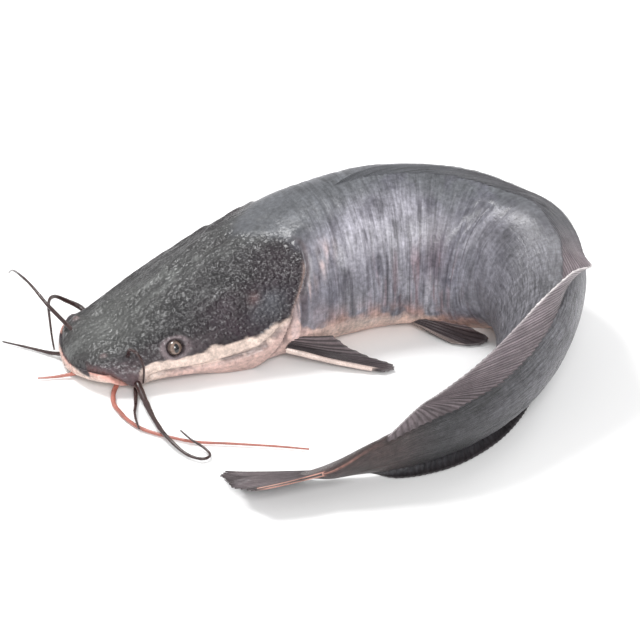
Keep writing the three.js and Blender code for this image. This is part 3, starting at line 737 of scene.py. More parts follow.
def body_relief(station, down, mirror, points):
    """How far the skin stands out from the plain form, in millimetres."""
    length = station * STANDARD_LENGTH
    push = np.zeros_like(station)
    head = station < 0.3
    for side in (1, -1):
        here = head & (mirror == side)
        near = points[here]
        raised = np.zeros(len(near))
        for keys, height, width in SKULL_RIDGES:
            raised += height * hump(distance_to(near, skin_line(keys, side)), width)
        for keys, depth, width in SKULL_FURROWS:
            raised -= depth * hump(distance_to(near, skin_line(keys, side)), width)
        mouth = distance_to(near, skin_line(MOUTH, side, 60))
        above = down[here] < along(MOUTH, station[here])
        raised -= 1.7 * hump(mouth, 0.75)
        raised += np.where(above, 0.9 * hump(mouth - 2.0, 1.2), 1.0 * hump(mouth - 1.7, 1.1))
        fold = distance_to(near, skin_line(THROAT_FOLD, side, 60))
        raised -= 1.3 * hump(fold, 0.8)
        raised += 0.9 * hump(fold - 2.4, 1.6)
        eye = gap_to_spot(near, EYE_STATION, on_side(EYE_ANGLE, side))
        raised += 0.7 * hump(eye - 4.3, 0.8)
        raised -= 3.4 * (1 - ease(eye, 2.9, 3.8))
        raised -= 0.4 * hump(eye - 6.0, 0.9)
        nostril = gap_to_spot(near, NOSTRIL_STATION, on_side(NOSTRIL_ANGLE, side))
        raised += 1.9 * hump(nostril, 1.1) - 1.2 * hump(nostril, 0.45)
        for name, amount, width in (("maxillary", 2.4, 4.2), ("outer_mandibular", 0.8, 2.0),
                                    ("inner_mandibular", 0.7, 1.8), ("nasal", 0.7, 1.6)):
            raised += amount * hump(gap_to_root(near, side, name), width)
        push[here] = raised
    edge = (station - along(GILL_EDGE, down)) * STANDARD_LENGTH
    plate = np.where(edge < 0, 1.9 * np.exp(edge / 11), -1.5 * hump(edge, 2.6))
    soft = ease(edge, -0.5, 0.7)
    plate = np.where(edge < 0, plate * (1 - 0.5 * ease(edge, -0.5, 0)), 0.95 * (1 - soft) + plate * soft)
    push += plate * ease(down, 28, 52) * (1 - 0.6 * ease(down, 120, 170)) * (station < 0.36)
    push += 1.6 * hump(station - 0.165, 0.035) * hump(down - 128, 26)
    push += 0.5 * hump(station - 0.15, 0.05) * hump(down - 66, 14)
    grain = rough_noise(length / 4.2, down / 9.0, 11)
    push += 0.16 * grain * (1 - ease(station, 0.22, 0.27)) * (1 - ease(down, 70, 92))
    wrinkles = rough_noise(length / 2.6, down / 60.0 + 9, 23)
    flank = ease(station, 0.25, 0.29) * (1 - ease(station, 0.9, 1.0))
    push += 0.16 * wrinkles * flank
    armpit = hump(station - 0.285, 0.035) * ease(down, 30, 55)
    push += 0.5 * rough_noise(length / 3.2, down / 45.0, 31) * armpit
    bend = hump(station - 0.53, 0.07) * (mirror > 0) * ease(down, 40, 80)
    push += 0.75 * rough_noise(length / 8.0, down / 70.0, 41, 2) * bend
    for keys, depth, width in FLANK_FOLDS:
        rows = (station > keys[0][0] - 0.06) & (station < keys[-1][0] + 0.06) & (mirror > 0)
        line = skin_line(keys, 1)
        gap = distance_to(points[rows], line)
        push[rows] += 0.6 * depth * hump(gap - 2.6 * width, 1.8 * width) - depth * hump(gap, width)
    lateral = hump(down - along([(0.25, 66), (0.4, 84), (0.7, 88), (1, 90)], station), 1.6)
    push -= 0.22 * lateral * ease(station, 0.26, 0.3)
    return push


def body_colours(station, down, mirror, points, s):
    """Skin colour, with the granular share of it, and the masks for streaks."""
    length = station * STANDARD_LENGTH
    blotch = rough_noise(length / 22, down / 26, 51, 4)
    fine = rough_noise(length / 6, down / 9, 57, 3)
    colour = spread(s.flank, station)

    def paint(shade, share):
        nonlocal colour
        colour = mix(colour, shade, share)

    paint(s.back, 1 - ease(down + 7 * blotch, 18, 46))
    silver = hump(station - 0.375, 0.095) * hump(down - 60, 30)
    silver += 0.4 * hump(station - 0.335, 0.03) * hump(down - 42, 18)
    silver = np.maximum(silver, 0.75 * hump(station - 0.32, 0.035) * hump(down - 66, 26))
    paint(s.silver, silver * (0.8 + 0.4 * blotch))
    mauve = hump(station - 0.45, 0.025) * hump(down - 70, 20)
    paint((0.12, 0.085, 0.11), 0.7 * mauve)
    bruise = ease(rough_noise(length / 11, down / 17, 71, 4), 0.2, 0.9) * ease(station, 0.24, 0.3)
    paint((0.07, 0.066, 0.088), 0.5 * bruise)
    shine = ease(rough_noise(length / 8, down / 30, 77, 4), 0.3, 1.0)
    shine *= ease(station, 0.26, 0.3) * ease(down, 20, 45)
    paint((0.42, 0.41, 0.44), 0.28 * shine * (1 - ease(station, 0.5, 0.66)))
    strokes = ease(rough_noise(length / 2.2, down / 26, 141, 3), 0.1, 0.8) * ease(station, 0.25, 0.29)
    strokes *= 1 - ease(station, 0.6, 0.72)
    paint((0.05, 0.046, 0.058), 0.7 * strokes * ease(down, 12, 40))
    rosy = ease(rough_noise(length / 3.0, down / 24, 149, 3), 0.25, 0.9) * hump(station - 0.42, 0.1)
    paint((0.25, 0.15, 0.165), 0.55 * rosy * ease(down, 50, 80))
    paint(s.tail, 0.85 * ease(station, 0.5, 0.66))
    # Painted shade: towards its rear the tail takes the tail colour at a quarter of its brightness.
    paint(np.array(s.tail) * 0.24, ease(station + 0.02 * blotch, 0.7, 0.88))
    slate = hump(station - 0.66, 0.08) * hump(down - 50, 40)
    paint((0.15, 0.148, 0.163), 0.5 * slate * (1 + blotch))
    ridge = ease(station, 0.94, 0.99) * hump(down - 4, 5)
    paint((0.36, 0.17, 0.135), 0.75 * ridge)
    paint((0.06, 0.03, 0.025), 0.5 * ease(station, 0.88, 0.95) * (1 - ridge))
    blend = 0.003 + 0.028 * (1 - ease(down, 22, 50))
    head = 1 - ease((station - along(GILL_EDGE, down)) / blend + 0.5 * fine * (down < 50), -1, 1)
    paint(s.skull, head)
    cheek = ease(down + 4 * fine, 34, 52) * ease(station, 0.105, 0.165) * head
    paint(s.cheek, cheek)
    paint(s.cheek, 0.8 * hump(station - 0.222, 0.03) * ease(down, 10, 40) * head)
    # Painted highlights: pale vein-like streaks over the head.
    painted_vein_highlights = ease(rough_noise(length / 9, down / 14, 63, 3), 0.25, 0.9)
    paint((0.05, 0.05, 0.052), 0.18 * painted_vein_highlights * head)
    # Painted highlights: pale streaks combed along the head, strongest over its top and fainter on its
    # middle.
    strokes = ease(rough_noise(length / 7 + down / 15, down / 3.4, 131, 3), 0.25, 0.75)
    top = head * (1 - ease(down + 8 * blotch, 4, 30))
    paint((0.16, 0.165, 0.16), (0.25 + 0.5 * strokes) * top)
    combed = head * strokes * (1 - ease(down, 40, 60)) * (1 - ease(station, 0.15, 0.2))
    paint((0.1, 0.102, 0.1), 0.28 * combed)
    # Painted glints: small pale flecks over the head.
    painted_glints = ease(rough_noise(length / 1.6, down / 3.2, 137, 2), 0.35, 0.9)
    paint((0.1, 0.1, 0.107), 0.12 * painted_glints * head)
    paint((0.017, 0.012, 0.014), 0.6 * ease(-blotch, 0.1, 0.9) * head)
    # Painted highlight: a paler patch over the top of the snout.
    painted_snout_highlight = hump(station - 0.05, 0.05) * (1 - ease(down, 20, 60))
    paint((0.09, 0.093, 0.088), 0.5 * painted_snout_highlight * head)
    face = hump(station - 0.04, 0.035) * head * ease(down, 45, 70)
    paint((0.115, 0.085, 0.095), 0.75 * face * (0.8 + 0.5 * fine))
    paint((0.09, 0.066, 0.075), 0.7 * hump(station - 0.11, 0.03) * hump(down - 76, 9) * head)
    spot = patch_at(station, down, 0.159, 62, 6.5, 6.5)
    paint((0.06, 0.045, 0.055), 0.5 * spot * (0.9 + 0.4 * fine))
    bluish = patch_at(station, down, 0.205, 68, 8, 7)
    paint((0.085, 0.088, 0.1), 0.6 * bluish * (0.9 + 0.4 * fine))
    scar = patch_at(station, down, 0.19, 58, 2.2, 2.4)
    paint((0.4, 0.2, 0.19), 0.15 * scar)
    # The pale underside and the cream edge of the gill membrane.
    edge = along(PALE_EDGE, station)
    pale = ease(down + 2.2 * blotch + 2.2 * fine, edge - 0.6, edge + 1.2)
    rear = ease(station, 0.24, 0.3)
    pale_soft = ease(down + 6 * blotch + 3 * fine, edge - 6, edge + 7)
    pale = pale * (1 - rear) + pale_soft * rear
    pale *= 1 - ease(points[..., 2], FRONT_LIP_HEIGHT, FRONT_LIP_HEIGHT + 1) * (station < 0.012)
    under = mix(spread(s.belly, station), (0.40, 0.27, 0.24), 0.5 * ease(blotch, 0.1, 0.9) * rear)
    under = mix(under, (0.62, 0.36, 0.29), 0.55 * rear * ease(down, 112, 135))
    over_fold = down - np.interp(station, *zip(*THROAT_FOLD))
    throat = (1 - rear) * ease(over_fold, 0, 3) * ease(station, 0.07, 0.1)
    under = mix(under, (0.5, 0.33, 0.3), 0.8 * throat)
    # Painted shadow: a dark line in the fold under the pale edge of the gill membrane.
    painted_fold_shadow = (1 - rear) * hump(over_fold - 1, 2.4) * ease(station, 0.07, 0.1)
    under = mix(under, (0.1, 0.075, 0.08), 0.8 * painted_fold_shadow * ease(fine + 0.5, 0, 0.5))
    paint(under, pale)
    flush = hump(down - along(PALE_EDGE, station) + 5, 9) * rear * (station < 0.56)
    paint((0.38, 0.23, 0.2), 0.75 * flush * ease(fine, -0.8, 0.6))
    membrane = (station - along(GILL_EDGE, down)) * STANDARD_LENGTH
    strip = hump(membrane + 0.2, 1.0) * ease(down, 46, 56)
    paint((0.60, 0.44, 0.4), 0.85 * strip * (station < 0.3))
    shadow = hump(membrane - 2.0, 1.3) * ease(down, 20, 44) * (station < 0.3)
    paint((0.055, 0.035, 0.036), 0.7 * shadow)
    folds = hump(membrane - 7 - 3 * blotch, 5) * ease(down, 34, 52)
    folds *= (1 - ease(down, 92, 104)) * (station < 0.32)
    # Pale pink stripes on the folds behind the gill cover, with painted shade in the dark stripes between
    # them.
    stripes = rough_noise(length / 1.9 + down / 40, down / 42, 151, 2)
    paint((0.5, 0.38, 0.37), 0.75 * folds * ease(stripes, 0.05, 0.55))
    paint((0.05, 0.035, 0.042), 0.8 * folds * ease(-stripes, 0.0, 0.5))
    for side in (1, -1):
        here = (station < 0.12) & (mirror == side)
        near = points[here]
        mouth = distance_to(near, skin_line(MOUTH, side, 60))
        below = down[here] > along(MOUTH, station[here])
        below &= (station[here] > 0.012) | (near[:, 2] < FRONT_LIP_HEIGHT)
        mouth = np.where((station[here] < 0.012) & (near[:, 2] > FRONT_LIP_HEIGHT + 1), 9, mouth)
        local = colour[here]
        local = mix(local, s.lip, np.where(below, 0.95 * (1 - ease(mouth, 2.4, 4.6)), 0.0))
        local = mix(local, (0.5, 0.13, 0.09), np.where(below, 0.5 * hump(mouth - 0.9, 0.7), 0))
        local = mix(local, (0.12, 0.05, 0.05), np.where(below, 0, 0.8 * hump(mouth, 1.3)))
        # Painted shade: a near-black line in the slit of the mouth.
        local = mix(local, (0.03, 0.01, 0.01), 0.9 * hump(mouth, 0.5))
        eye = gap_to_spot(near, EYE_STATION, on_side(EYE_ANGLE, side))
        forward = (station[here] - EYE_STATION) * STANDARD_LENGTH
        ring = eye / (1 + 0.35 * np.abs(forward) / np.maximum(eye, 1))
        local = mix(local, (0.2, 0.16, 0.17), 0.85 * hump(ring - 4.0, 0.8))
        # Painted shade: a dark ring where the eye sinks into the skin, and darker still under the eyeball.
        local = mix(local, (0.04, 0.03, 0.032), 0.8 * hump(eye - 3.3, 0.35))
        local = mix(local, (0.02, 0.013, 0.013), 1 - ease(eye, 2.4, 3.2))
        nostril = gap_to_spot(near, NOSTRIL_STATION, on_side(NOSTRIL_ANGLE, side))
        local = mix(local, (0.27, 0.2, 0.2), 0.8 * hump(nostril, 1.3))
        # Painted shade in the opening of the nostril.
        local = mix(local, (0.03, 0.015, 0.015), 0.9 * hump(nostril, 0.55))
        for name, shade, width in (("maxillary", (0.085, 0.05, 0.055), 4.8),
                                   ("outer_mandibular", (0.3, 0.1, 0.08), 2.2),
                                   ("inner_mandibular", (0.5, 0.22, 0.17), 2.2)):
            local = mix(local, shade, 0.9 * hump(gap_to_root(near, side, name), width))
        colour[here] = local
    granular = head * (1 - ease(down, 72, 90)) * (0.55 + 0.45 * ease(station, 0.03, 0.1))
    streaks = ease(station, 0.25, 0.28) * (1 - 0.6 * pale) * (0.5 + 0.5 * hump(station - 0.36, 0.13))
    combed = ease(station, 0.56, 0.7)
    masks = np.stack([granular, streaks, combed, np.ones_like(pale)], -1)
    return with_alpha(np.clip(colour, 0.004, 0.95)), masks


class FISH_OT_body(bpy.types.Operator):
    """Build the skin of the head, trunk and tail"""
    bl_idname = "fish.body"
    bl_label = "Body"

    def execute(self, context):
        s = context.scene.fish_skin
        stations = body_stations(s.rings)
        around = (np.arange(s.round) + 0.5) / s.round
        angle = 270 + around * 360
        station, degrees = np.meshgrid(stations, angle % 360, indexing="ij")
        points = skin_points(station, degrees)
        turned = (degrees - 90 + 180) % 360 - 180
        down, mirror = np.abs(turned), np.where(turned >= 0, 1, -1)
        normal = smooth_normals(points)
        push = body_relief(station, down, mirror, points) * s.relief
        push *= ease(points[..., 2], 0.0, 1.2) * (0.35 + 0.65 * ease(station, 0.0, 0.01))
        tint, masks = body_colours(station, down, mirror, points, s)
        shaped = points + normal * push[..., None]
        shaped = thinned_tail(station, shaped)
        shaped[..., 2] = np.maximum(shaped[..., 2], 0)
        uv = np.stack([station * SKIN_MAP[0], np.broadcast_to(around * SKIN_MAP[1], station.shape)], -1)
        middle, _, _, back, _ = frames([0, TAIL_END])
        ends = np.stack([middle[0], middle[1] + back[1] * 0.3])
        extend = lambda a: np.vstack([a.reshape(-1, a.shape[-1]), a[0].mean(0), a[-1].mean(0)])
        body = closed_skin("skin_of_body", shaped, ends, skin_material(), extend(tint),
                           extend(masks), extend(uv))
        finished(body, "skin", "body")
        return {"FINISHED"}


# ---- Eyes ---------------------------------------------------------------------------------


EYE_RINGS, EYE_POINTS = 48, 72
# How far the middle of the eye stands out over a ball, as a share of its radius.
EYE_BULGE = 0.06


class FISH_OT_eyes(bpy.types.Operator):
    """Build both eyes, each a glossy ball with an iris and an upright pupil"""
    bl_idname = "fish.eyes"
    bl_label = "Eyes"

    def execute(self, context):
        s = context.scene.fish_eyes
        for word, mirror in SIDES:
            angle = on_side(EYE_ANGLE, mirror)
            centre = skin_point(EYE_STATION, angle, -EYE_INSET)
            gaze = skin_point(EYE_STATION, angle, 4) - centre
            gaze /= np.linalg.norm(gaze)
            tall = np.array([0, 0, 1]) - gaze * gaze[2]
            tall /= np.linalg.norm(tall)
            side = np.cross(tall, gaze)
            polar = (np.arange(EYE_RINGS) + 0.5) / EYE_RINGS * np.pi
            turn = np.arange(EYE_POINTS) * 2 * np.pi / EYE_POINTS
            p, t = np.meshgrid(polar, turn, indexing="ij")
            x, y = np.sin(p) * np.cos(t), np.sin(p) * np.sin(t)
            bulge = 1 + EYE_BULGE * hump(p, 0.6)
            points = centre + EYE_RADIUS * bulge[..., None] * (
                np.cos(p)[..., None] * gaze + x[..., None] * side + y[..., None] * tall)
            colour = spread(s.iris, p)
            radial = np.hypot(x, y)
            colour = mix(colour, np.array(s.iris) * 1.7, 0.6 * hump(radial - 0.62, 0.12))
            colour = mix(colour, np.array(s.iris) * 0.35, 0.8 * hump(radial - 0.8, 0.09))
            colour = mix(colour, s.ring, ease(radial, 0.84, 0.94) + (p > 1.5))
            pupil = np.hypot(x / 0.3, y / 0.6)
            colour = mix(colour, s.pupil, 1 - ease(pupil, 0.85, 1.1))
            ends = np.stack([centre + gaze * EYE_RADIUS * (1 + EYE_BULGE), centre - gaze * EYE_RADIUS])
            tint = with_alpha(np.vstack([colour.reshape(-1, 3), s.pupil, s.ring]))
            eye = closed_skin(f"{word}_eyeball", points, ends, eye_material(), tint)
            finished(eye, "eye", f"{word}_eye")
        return {"FINISHED"}


# ---- Rods that follow lines: fin rays and whiskers ----------------------------------------


@once("node_groups", "Tapered Rods")
def rod_tree(name):
    """Tapered rods along every line of the guide mesh."""
    tree, given, result = new_group(name, "GeometryNodeTree", {
        "Geometry": SHAPE, "Root Radius": 0.001, "Tip Radius": 0.0003, "Spacing": 0.0008, "Sides": 10,
        "Unevenness": 0.0, "Material": FINISH}, {"Geometry": SHAPE})
    line = add(tree, "GeometryNodeMeshToCurve", {0: given["Geometry"]})[0]
    even = add(tree, "GeometryNodeResampleCurve", {"Curve": line, "Length": given["Spacing"]},
               mode="LENGTH")[0]
    share = add(tree, "GeometryNodeSplineParameter")["Factor"]
    radius = add(tree, "ShaderNodeMapRange", {
        "Value": maths(tree, "POWER", share, 0.55), "To Min": given["Root Radius"],
        "To Max": given["Tip Radius"]})[0]
    noise = add(tree, "ShaderNodeTexNoise", {"Scale": 260.0})["Fac"]
    uneven = maths(tree, "MULTIPLY_ADD", maths(tree, "SUBTRACT", noise, 0.5), given["Unevenness"], 1.0)
    circle = add(tree, "GeometryNodeCurvePrimitiveCircle", {"Radius": 1.0, "Resolution": given["Sides"]})[0]
    rod = add(tree, "GeometryNodeCurveToMesh", {
        "Curve": even, "Profile Curve": circle, "Fill Caps": True,
        "Scale": maths(tree, "MULTIPLY", radius, uneven)})[0]
    smooth = add(tree, "GeometryNodeSetShadeSmooth", {0: rod})[0]
    real = add(tree, "GeometryNodeRealizeInstances", {0: smooth})[0]
    painted = add(tree, "GeometryNodeSetMaterial", {"Geometry": real, "Material": given["Material"]})[0]
    tree.links.new(painted, result[0])
    return tree


def rods(name, lines, tissue, root_radius, tip_radius, spacing, sides, unevenness):
    """A plain mesh of tapered rods along lines of points in millimetres."""
    points, edges = [], []
    for line in lines:
        start = len(points)
        points += (np.asarray(line) * MM).tolist()
        edges += [(start + i, start + i + 1) for i in range(len(line) - 1)]
    guide_mesh = bpy.data.meshes.new(name + "_guide")
    guide_mesh.from_pydata(points, edges, [])
    guide = link(bpy.data.objects.new(name + "_guide", guide_mesh))
    tree = rod_tree()
    modifier = guide.modifiers.new("Rods", "NODES")
    modifier.node_group = tree
    values = {"Root Radius": root_radius, "Tip Radius": tip_radius, "Spacing": spacing, "Sides": sides,
              "Unevenness": unevenness, "Material": tissue}
    for item in tree.interface.items_tree:
        if item.in_out == "INPUT" and item.name in values:
            modifier[item.identifier] = values[item.name]
    graph = bpy.context.evaluated_depsgraph_get()
    made = bpy.data.meshes.new_from_object(guide.evaluated_get(graph))
    made.name = name
    bpy.data.objects.remove(guide)
    if not made.materials:
        made.materials.append(tissue)
    return link(bpy.data.objects.new(name, made))


def smooth_route(points, per_span=14):
    """Points of a smooth curve through the given ones."""
    points = np.asarray(points, float)
    padded = np.vstack([2 * points[0] - points[1], points, 2 * points[-1] - points[-2]])
    out = []
    for i in range(1, len(padded) - 2):
        p0, p1, p2, p3 = padded[i - 1:i + 3]
        for t in np.arange(per_span) / per_span:
            out.append(0.5 * (2 * p1 + (p2 - p0) * t + (2 * p0 - 5 * p1 + 4 * p2 - p3) * t**2
                              + (3 * p1 - p0 - 3 * p2 + p3) * t**3))
    return np.array(out + [points[-1]])


class FISH_OT_whiskers(bpy.types.Operator):
    """Build the four pairs of whiskers"""
    bl_idname = "fish.whiskers"
    bl_label = "Whiskers"

    def execute(self, context):
        s = context.scene.fish_whiskers
        dark = plain_tissue("Dark whisker", s.upper)
        pink = plain_tissue("Pink whisker", s.lower)
        for whisker in WHISKERS:
            name, root = whisker["name"], whisker["root"]
            mirror = 1 if name.startswith("left") else -1
            start = skin_point(*root)
            inside = skin_point(*root, -1.5)
            if "raised" in whisker:
                route = [skin_point(*step) for step in whisker["raised"]]
            else:
                _, _, _, back, outward = (part[0] for part in frames([root[0]]))
                route = []
                for out, aft, height in whisker["lying"]:
                    point = start - outward * mirror * out + back * aft
                    route.append([point[0], point[1], height])
            line = smooth_route([inside, start, *route])
            tissue = pink if "inner" in name else dark
            piece = rods(f"{name}_tissue", [line], tissue, s.root_radius * whisker["thickness"],
                         s.tip_radius, spacing=0.0006, sides=14, unevenness=0.5)
            finished(piece, "barbel", name)
        return {"FINISHED"}


# ---- Fins ---------------------------------------------------------------------------------


def dorsal_place(u, v):
    station = between(*DORSAL_STATIONS, u)
    _, _, _, _, outward = frames(station.ravel())
    outward = outward.reshape(station.shape + (3,))
    lean = np.radians(along(DORSAL_LEAN, station))
    curl = np.radians(along(DORSAL_CURL, station))
    height = along(DORSAL_HEIGHT, station) * DORSAL_FIN_HEIGHT + ROOT_DEPTH
    across = height / curl * (np.cos(lean) - np.cos(lean + curl * v)) - ROOT_DEPTH * np.sin(lean)
    rise = height / curl * (np.sin(lean + curl * v) - np.sin(lean)) - ROOT_DEPTH * np.cos(lean)
    points = skin_points(station, 90) + outward * across[..., None]
    points[..., 2] += rise
    return points


def anal_place(u, v):
    station = between(*ANAL_STATIONS, u)
    _, _, _, _, outward = frames(station.ravel())
    outward = outward.reshape(station.shape + (3,))
    root = skin_points(station, 270, -ROOT_DEPTH)
    reach = along(ANAL_HEIGHT, station) * ANAL_FIN_HEIGHT
    v = v * (0.35 + 0.65 * ease(1 - u, 0, 0.08))
    points = root + outward * (reach * v**ANAL_SPREAD_EASE)[..., None]
    points[..., 2] = root[..., 2] + (ANAL_DROP - root[..., 2]) * (1 - (1 - v) ** ANAL_DROP_EASE)
    return points


def tail_place(u, v):
    side = u * 2 - 1
    reach = TAIL_FIN_LENGTH * (1 - TAIL_FIN_ROUNDING * side**2 - TAIL_FIN_SKEW * side)
    station = 1 + (v * (reach + ROOT_DEPTH) - ROOT_DEPTH) / STANDARD_LENGTH
    middle, _, tall, _, _ = frames(station.ravel())
    middle, tall = middle.reshape(station.shape + (3,)), tall.reshape(station.shape + (3,))
    root_height = along(BACK_PROFILE, 1) * BODY_DEPTH * TAIL_ROOT_SHARE
    height = root_height + (TAIL_FIN_SPREAD - root_height) * np.sin(v * np.pi / 2)
    return middle + tall * (side * height)[..., None]


def paired_place(spec, mirror):
    """The middle surface of a pectoral or pelvic fin, as a function of its grid."""
    _, _, _, back, outward = (part[0] for part in frames([spec["station"]]))
    root = skin_point(spec["station"], on_side(spec["angle"], mirror), -ROOT_DEPTH)
    rays = np.array(spec["rays"], float)
    root_step = spec["root"]

    def place(u, v):
        order = u * (len(rays) - 1)
        degrees, share, height = (np.interp(order, np.arange(len(rays)), rays[:, k]) for k in range(3))
        reach = spec["length"] * share + ROOT_DEPTH
        start = root - back * ((u - 0.5) * root_step)[..., None]
        start[..., 2] = root[2] + (u - 0.5) * 2 * root_step
        end = (root - outward * mirror * (reach * np.cos(np.radians(degrees)))[..., None]
               + back * (reach * np.sin(np.radians(degrees)))[..., None])
        points = start + (end - start) * v[..., None]
        points[..., 2] = start[..., 2] + (height - start[..., 2]) * (1 - (1 - v) ** PAIRED_DROP_EASE)
        return points

    return place


def swept(c, v, sweep):
    """Place along the fin's root of a ray's point at height v, when its root is at c."""
    return c + sweep * v * ease(1 - c, 0, 0.3)


def fin_sheet(name, place, columns, rows, rays, sweep, thickness, colours, ruffle=0.0, fringe=0.01):
    """A thin closed fin whose skin stands up over each ray, with a notched free edge."""
    c, v = np.meshgrid(np.linspace(0, 1, columns + 1), np.linspace(0, 1, rows + 1), indexing="ij")
    phase = c * rays
    ridge = (0.5 + 0.5 * np.cos(2 * np.pi * phase)) ** 2
    uneven = lattice_noise(np.round(phase) * 0.37, 0 * phase + 3.3, 91)
    reach = v * (1 - fringe * (1 - ridge + 0.6 * (1 + uneven)) * ease(v, 0.6, 1))
    u = swept(c, reach, sweep)
    points = place(u, reach)
    h = 1e-3
    u0, u1 = np.clip(u - h, 0, 1), np.clip(u + h, 0, 1)
    v0, v1 = np.clip(reach - h, 0, 1), np.clip(reach + h, 0, 1)
    normal = np.cross(place(u1, reach) - place(u0, reach), place(u, v1) - place(u, v0))
    normal /= np.linalg.norm(normal, axis=-1, keepdims=True) + 1e-12
    wave = ruffle * rough_noise(u * rays / 5.0, v * 1.5, 77, 2) * ease(v, 0.3, 1)
    half = thickness(u, v) / 2 * (0.7 + 0.4 * ridge)
    points = points + normal * wave[..., None]
    front, rear = points + normal * half[..., None], points - normal * half[..., None]
    for side in (front, rear):
        side[..., 2] = np.maximum(side[..., 2], 0.05)
    tint = with_alpha(colours(u, v, ridge))
    uv = np.stack([phase * 1.2, v * 4], -1)
    index = np.arange(v.size).reshape(v.shape)
    a, b, c, d = index[:-1, :-1], index[1:, :-1], index[1:, 1:], index[:-1, 1:]
    quads = [np.stack([a, b, c, d], -1).reshape(-1, 4), np.stack([a, d, c, b], -1).reshape(-1, 4) + v.size]
    rim = np.concatenate([index[:, 0], index[-1, 1:], index[-2::-1, -1], index[0, -2:0:-1]])
    after = np.roll(rim, -1)
    quads.append(np.stack([rim, rim + v.size, after + v.size, after], -1))
    both = np.vstack([front.reshape(-1, 3), rear.reshape(-1, 3)])
    twice = lambda a: np.vstack([a.reshape(-1, a.shape[-1])] * 2)
    fin = new_mesh(name, both, np.vstack(quads), fin_material(), twice(tint), None, twice(uv))
    outward_normals(fin)
    return fin


def ray_lines(place, rays, sweep, start=0.12, end=0.97, points=16):
    """Lines along the middle of a fin's rays, swept back towards its edge."""
    v = np.linspace(start, end, points)
    return [place(swept(k / rays + 0 * v, v, sweep), v) for k in range(rays + 1)]


def ramp_thickness(s):
    root, edge = s.root_thickness / MM, s.edge_thickness / MM
    return lambda u, v: root + (edge - root) * v**0.8


def fin_colours(s, margin=1.0, dark=0.0):
    def colours(u, v, ridge):
        colour = spread(s.membrane, u)
        colour = mix(colour, np.array(s.membrane) * 1.6, 0.5 * ease(v, 0.3, 0.9))
        colour = mix(colour, s.ray, 0.8 * ridge)
        colour = mix(colour, np.array(s.ray) * 0.6, dark)
        return mix(colour, s.margin, margin * ease(v, 0.94, 0.99))
    return colours


def dorsal_colours(s, back):
    """On the trunk the fin matches the back, and on the tail it is mauve with a white edge."""
    plain = fin_colours(s, 0)

    def colours(u, v, ridge):
        station = between(*DORSAL_STATIONS, u)
        tail = ease(station, 0.58, 0.65)
        colour = mix(spread(back, u), plain(u, v, ridge), tail)
        colour = mix(colour, s.ray, (0.3 + 0.4 * ease(station, 0.42, 0.5)) * ridge * (1 - tail))
        colour = mix(colour, s.ray, 0.6 * ease(station, 0.78, 0.9))
        edge = ease(v, 0.93, 0.98) * ease(station, 0.63, 0.66) * (1 - 0.7 * ease(station, 0.74, 0.8))
        return mix(colour, s.margin, edge)

    return colours


# How far a ray's tip lies nearer the tail than its root, as a share of the fin's length.
DORSAL_SWEEP = 0.18
ANAL_SWEEP = 0.05
# The dorsal fin's rays take the colour of the back up to this station.
TRUNK_END = 0.6
# A thin ray lies along the tail fin's lower edge, this far across the fin.
TAIL_EDGE = 0.985


class FISH_OT_middle_fins(bpy.types.Operator):
    """Build the dorsal, anal and tail fins with their rays"""
    bl_idname = "fish.middle_fins"
    bl_label = "Middle fins"

    def execute(self, context):
        s = context.scene.fish_fins
        back = context.scene.fish_skin.back
        thick = ramp_thickness(s)
        bone = plain_tissue("Fin rays", s.ray)
        back_bone = plain_tissue("Trunk fin rays", np.array(back) * 0.7)
        pink = plain_tissue("Pink fin edge", (0.46, 0.25, 0.2))
        dorsal = fin_sheet("dorsal_membrane", dorsal_place, 1008, 16, s.dorsal_rays, DORSAL_SWEEP, thick,
                           dorsal_colours(s, back), ruffle=0.3)
        finished(dorsal, "fin", "dorsal_fin")

        # The anal fin lies under the leaning tail: its dark colour, half the tail colour and darker towards
        # its edge, is partly its own tone and partly painted shade.
        def anal_colours(u, v, ridge):
            colour = spread(np.array(context.scene.fish_skin.tail) * 0.5, u)
            colour = mix(colour, np.array(s.ray) * 0.7, 0.35 * ridge)
            return mix(colour, np.array(s.ray) * 0.5, 0.7 * ease(v, 0.45, 0.95))

        anal = fin_sheet("anal_membrane", anal_place, 600, 12, s.anal_rays, ANAL_SWEEP, thick,
                         anal_colours, ruffle=0.12)
        finished(anal, "fin", "anal_fin")

        def tail_colours(u, v, ridge):
            colour = fin_colours(s, 0, 0.55)(u, v, ridge)
            colour = mix(colour, (0.17, 0.14, 0.145), 0.6 * (1 - ridge) * ease(v, 0.25, 0.6))
            return mix(colour, (0.42, 0.22, 0.18), ease(u, 0.975, 0.995) * (1 - ease(v, 0.8, 1)))

        tail = fin_sheet("tail_membrane", tail_place, 432, 48, s.tail_rays, 0.0, thick, tail_colours,
                         ruffle=0.9, fringe=0.1)
        finished(tail, "fin", "caudal_fin")
        trunk_share = (TRUNK_END - DORSAL_STATIONS[0]) / (DORSAL_STATIONS[1] - DORSAL_STATIONS[0])
        dorsal_lines = ray_lines(dorsal_place, s.dorsal_rays, DORSAL_SWEEP)
        on_trunk = int(len(dorsal_lines) * trunk_share)
        for name, lines, tissue, size in (
                ("dorsal_trunk_rays", dorsal_lines[:on_trunk], back_bone, 0.8),
                ("dorsal_tail_rays", dorsal_lines[on_trunk:], bone, 1.1),
                ("anal_rays", ray_lines(anal_place, s.anal_rays, ANAL_SWEEP), bone, 0.55),
                ("tail_rays", ray_lines(tail_place, s.tail_rays, 0.0, 0.12, 0.93), bone, 1.2)):
            finished(rods(name, lines, tissue, s.ray_radius * size * 1.6, s.ray_radius * 0.5,
                          spacing=0.0012, sides=6, unevenness=0.1), "fin")
        v = np.linspace(0.05, 0.9, 24)
        finished(rods("tail_edge_ray", [tail_place(TAIL_EDGE + 0 * v, v)], pink, 0.0008, 0.0004,
                      spacing=0.001, sides=12, unevenness=0.2), "fin")
        return {"FINISHED"}


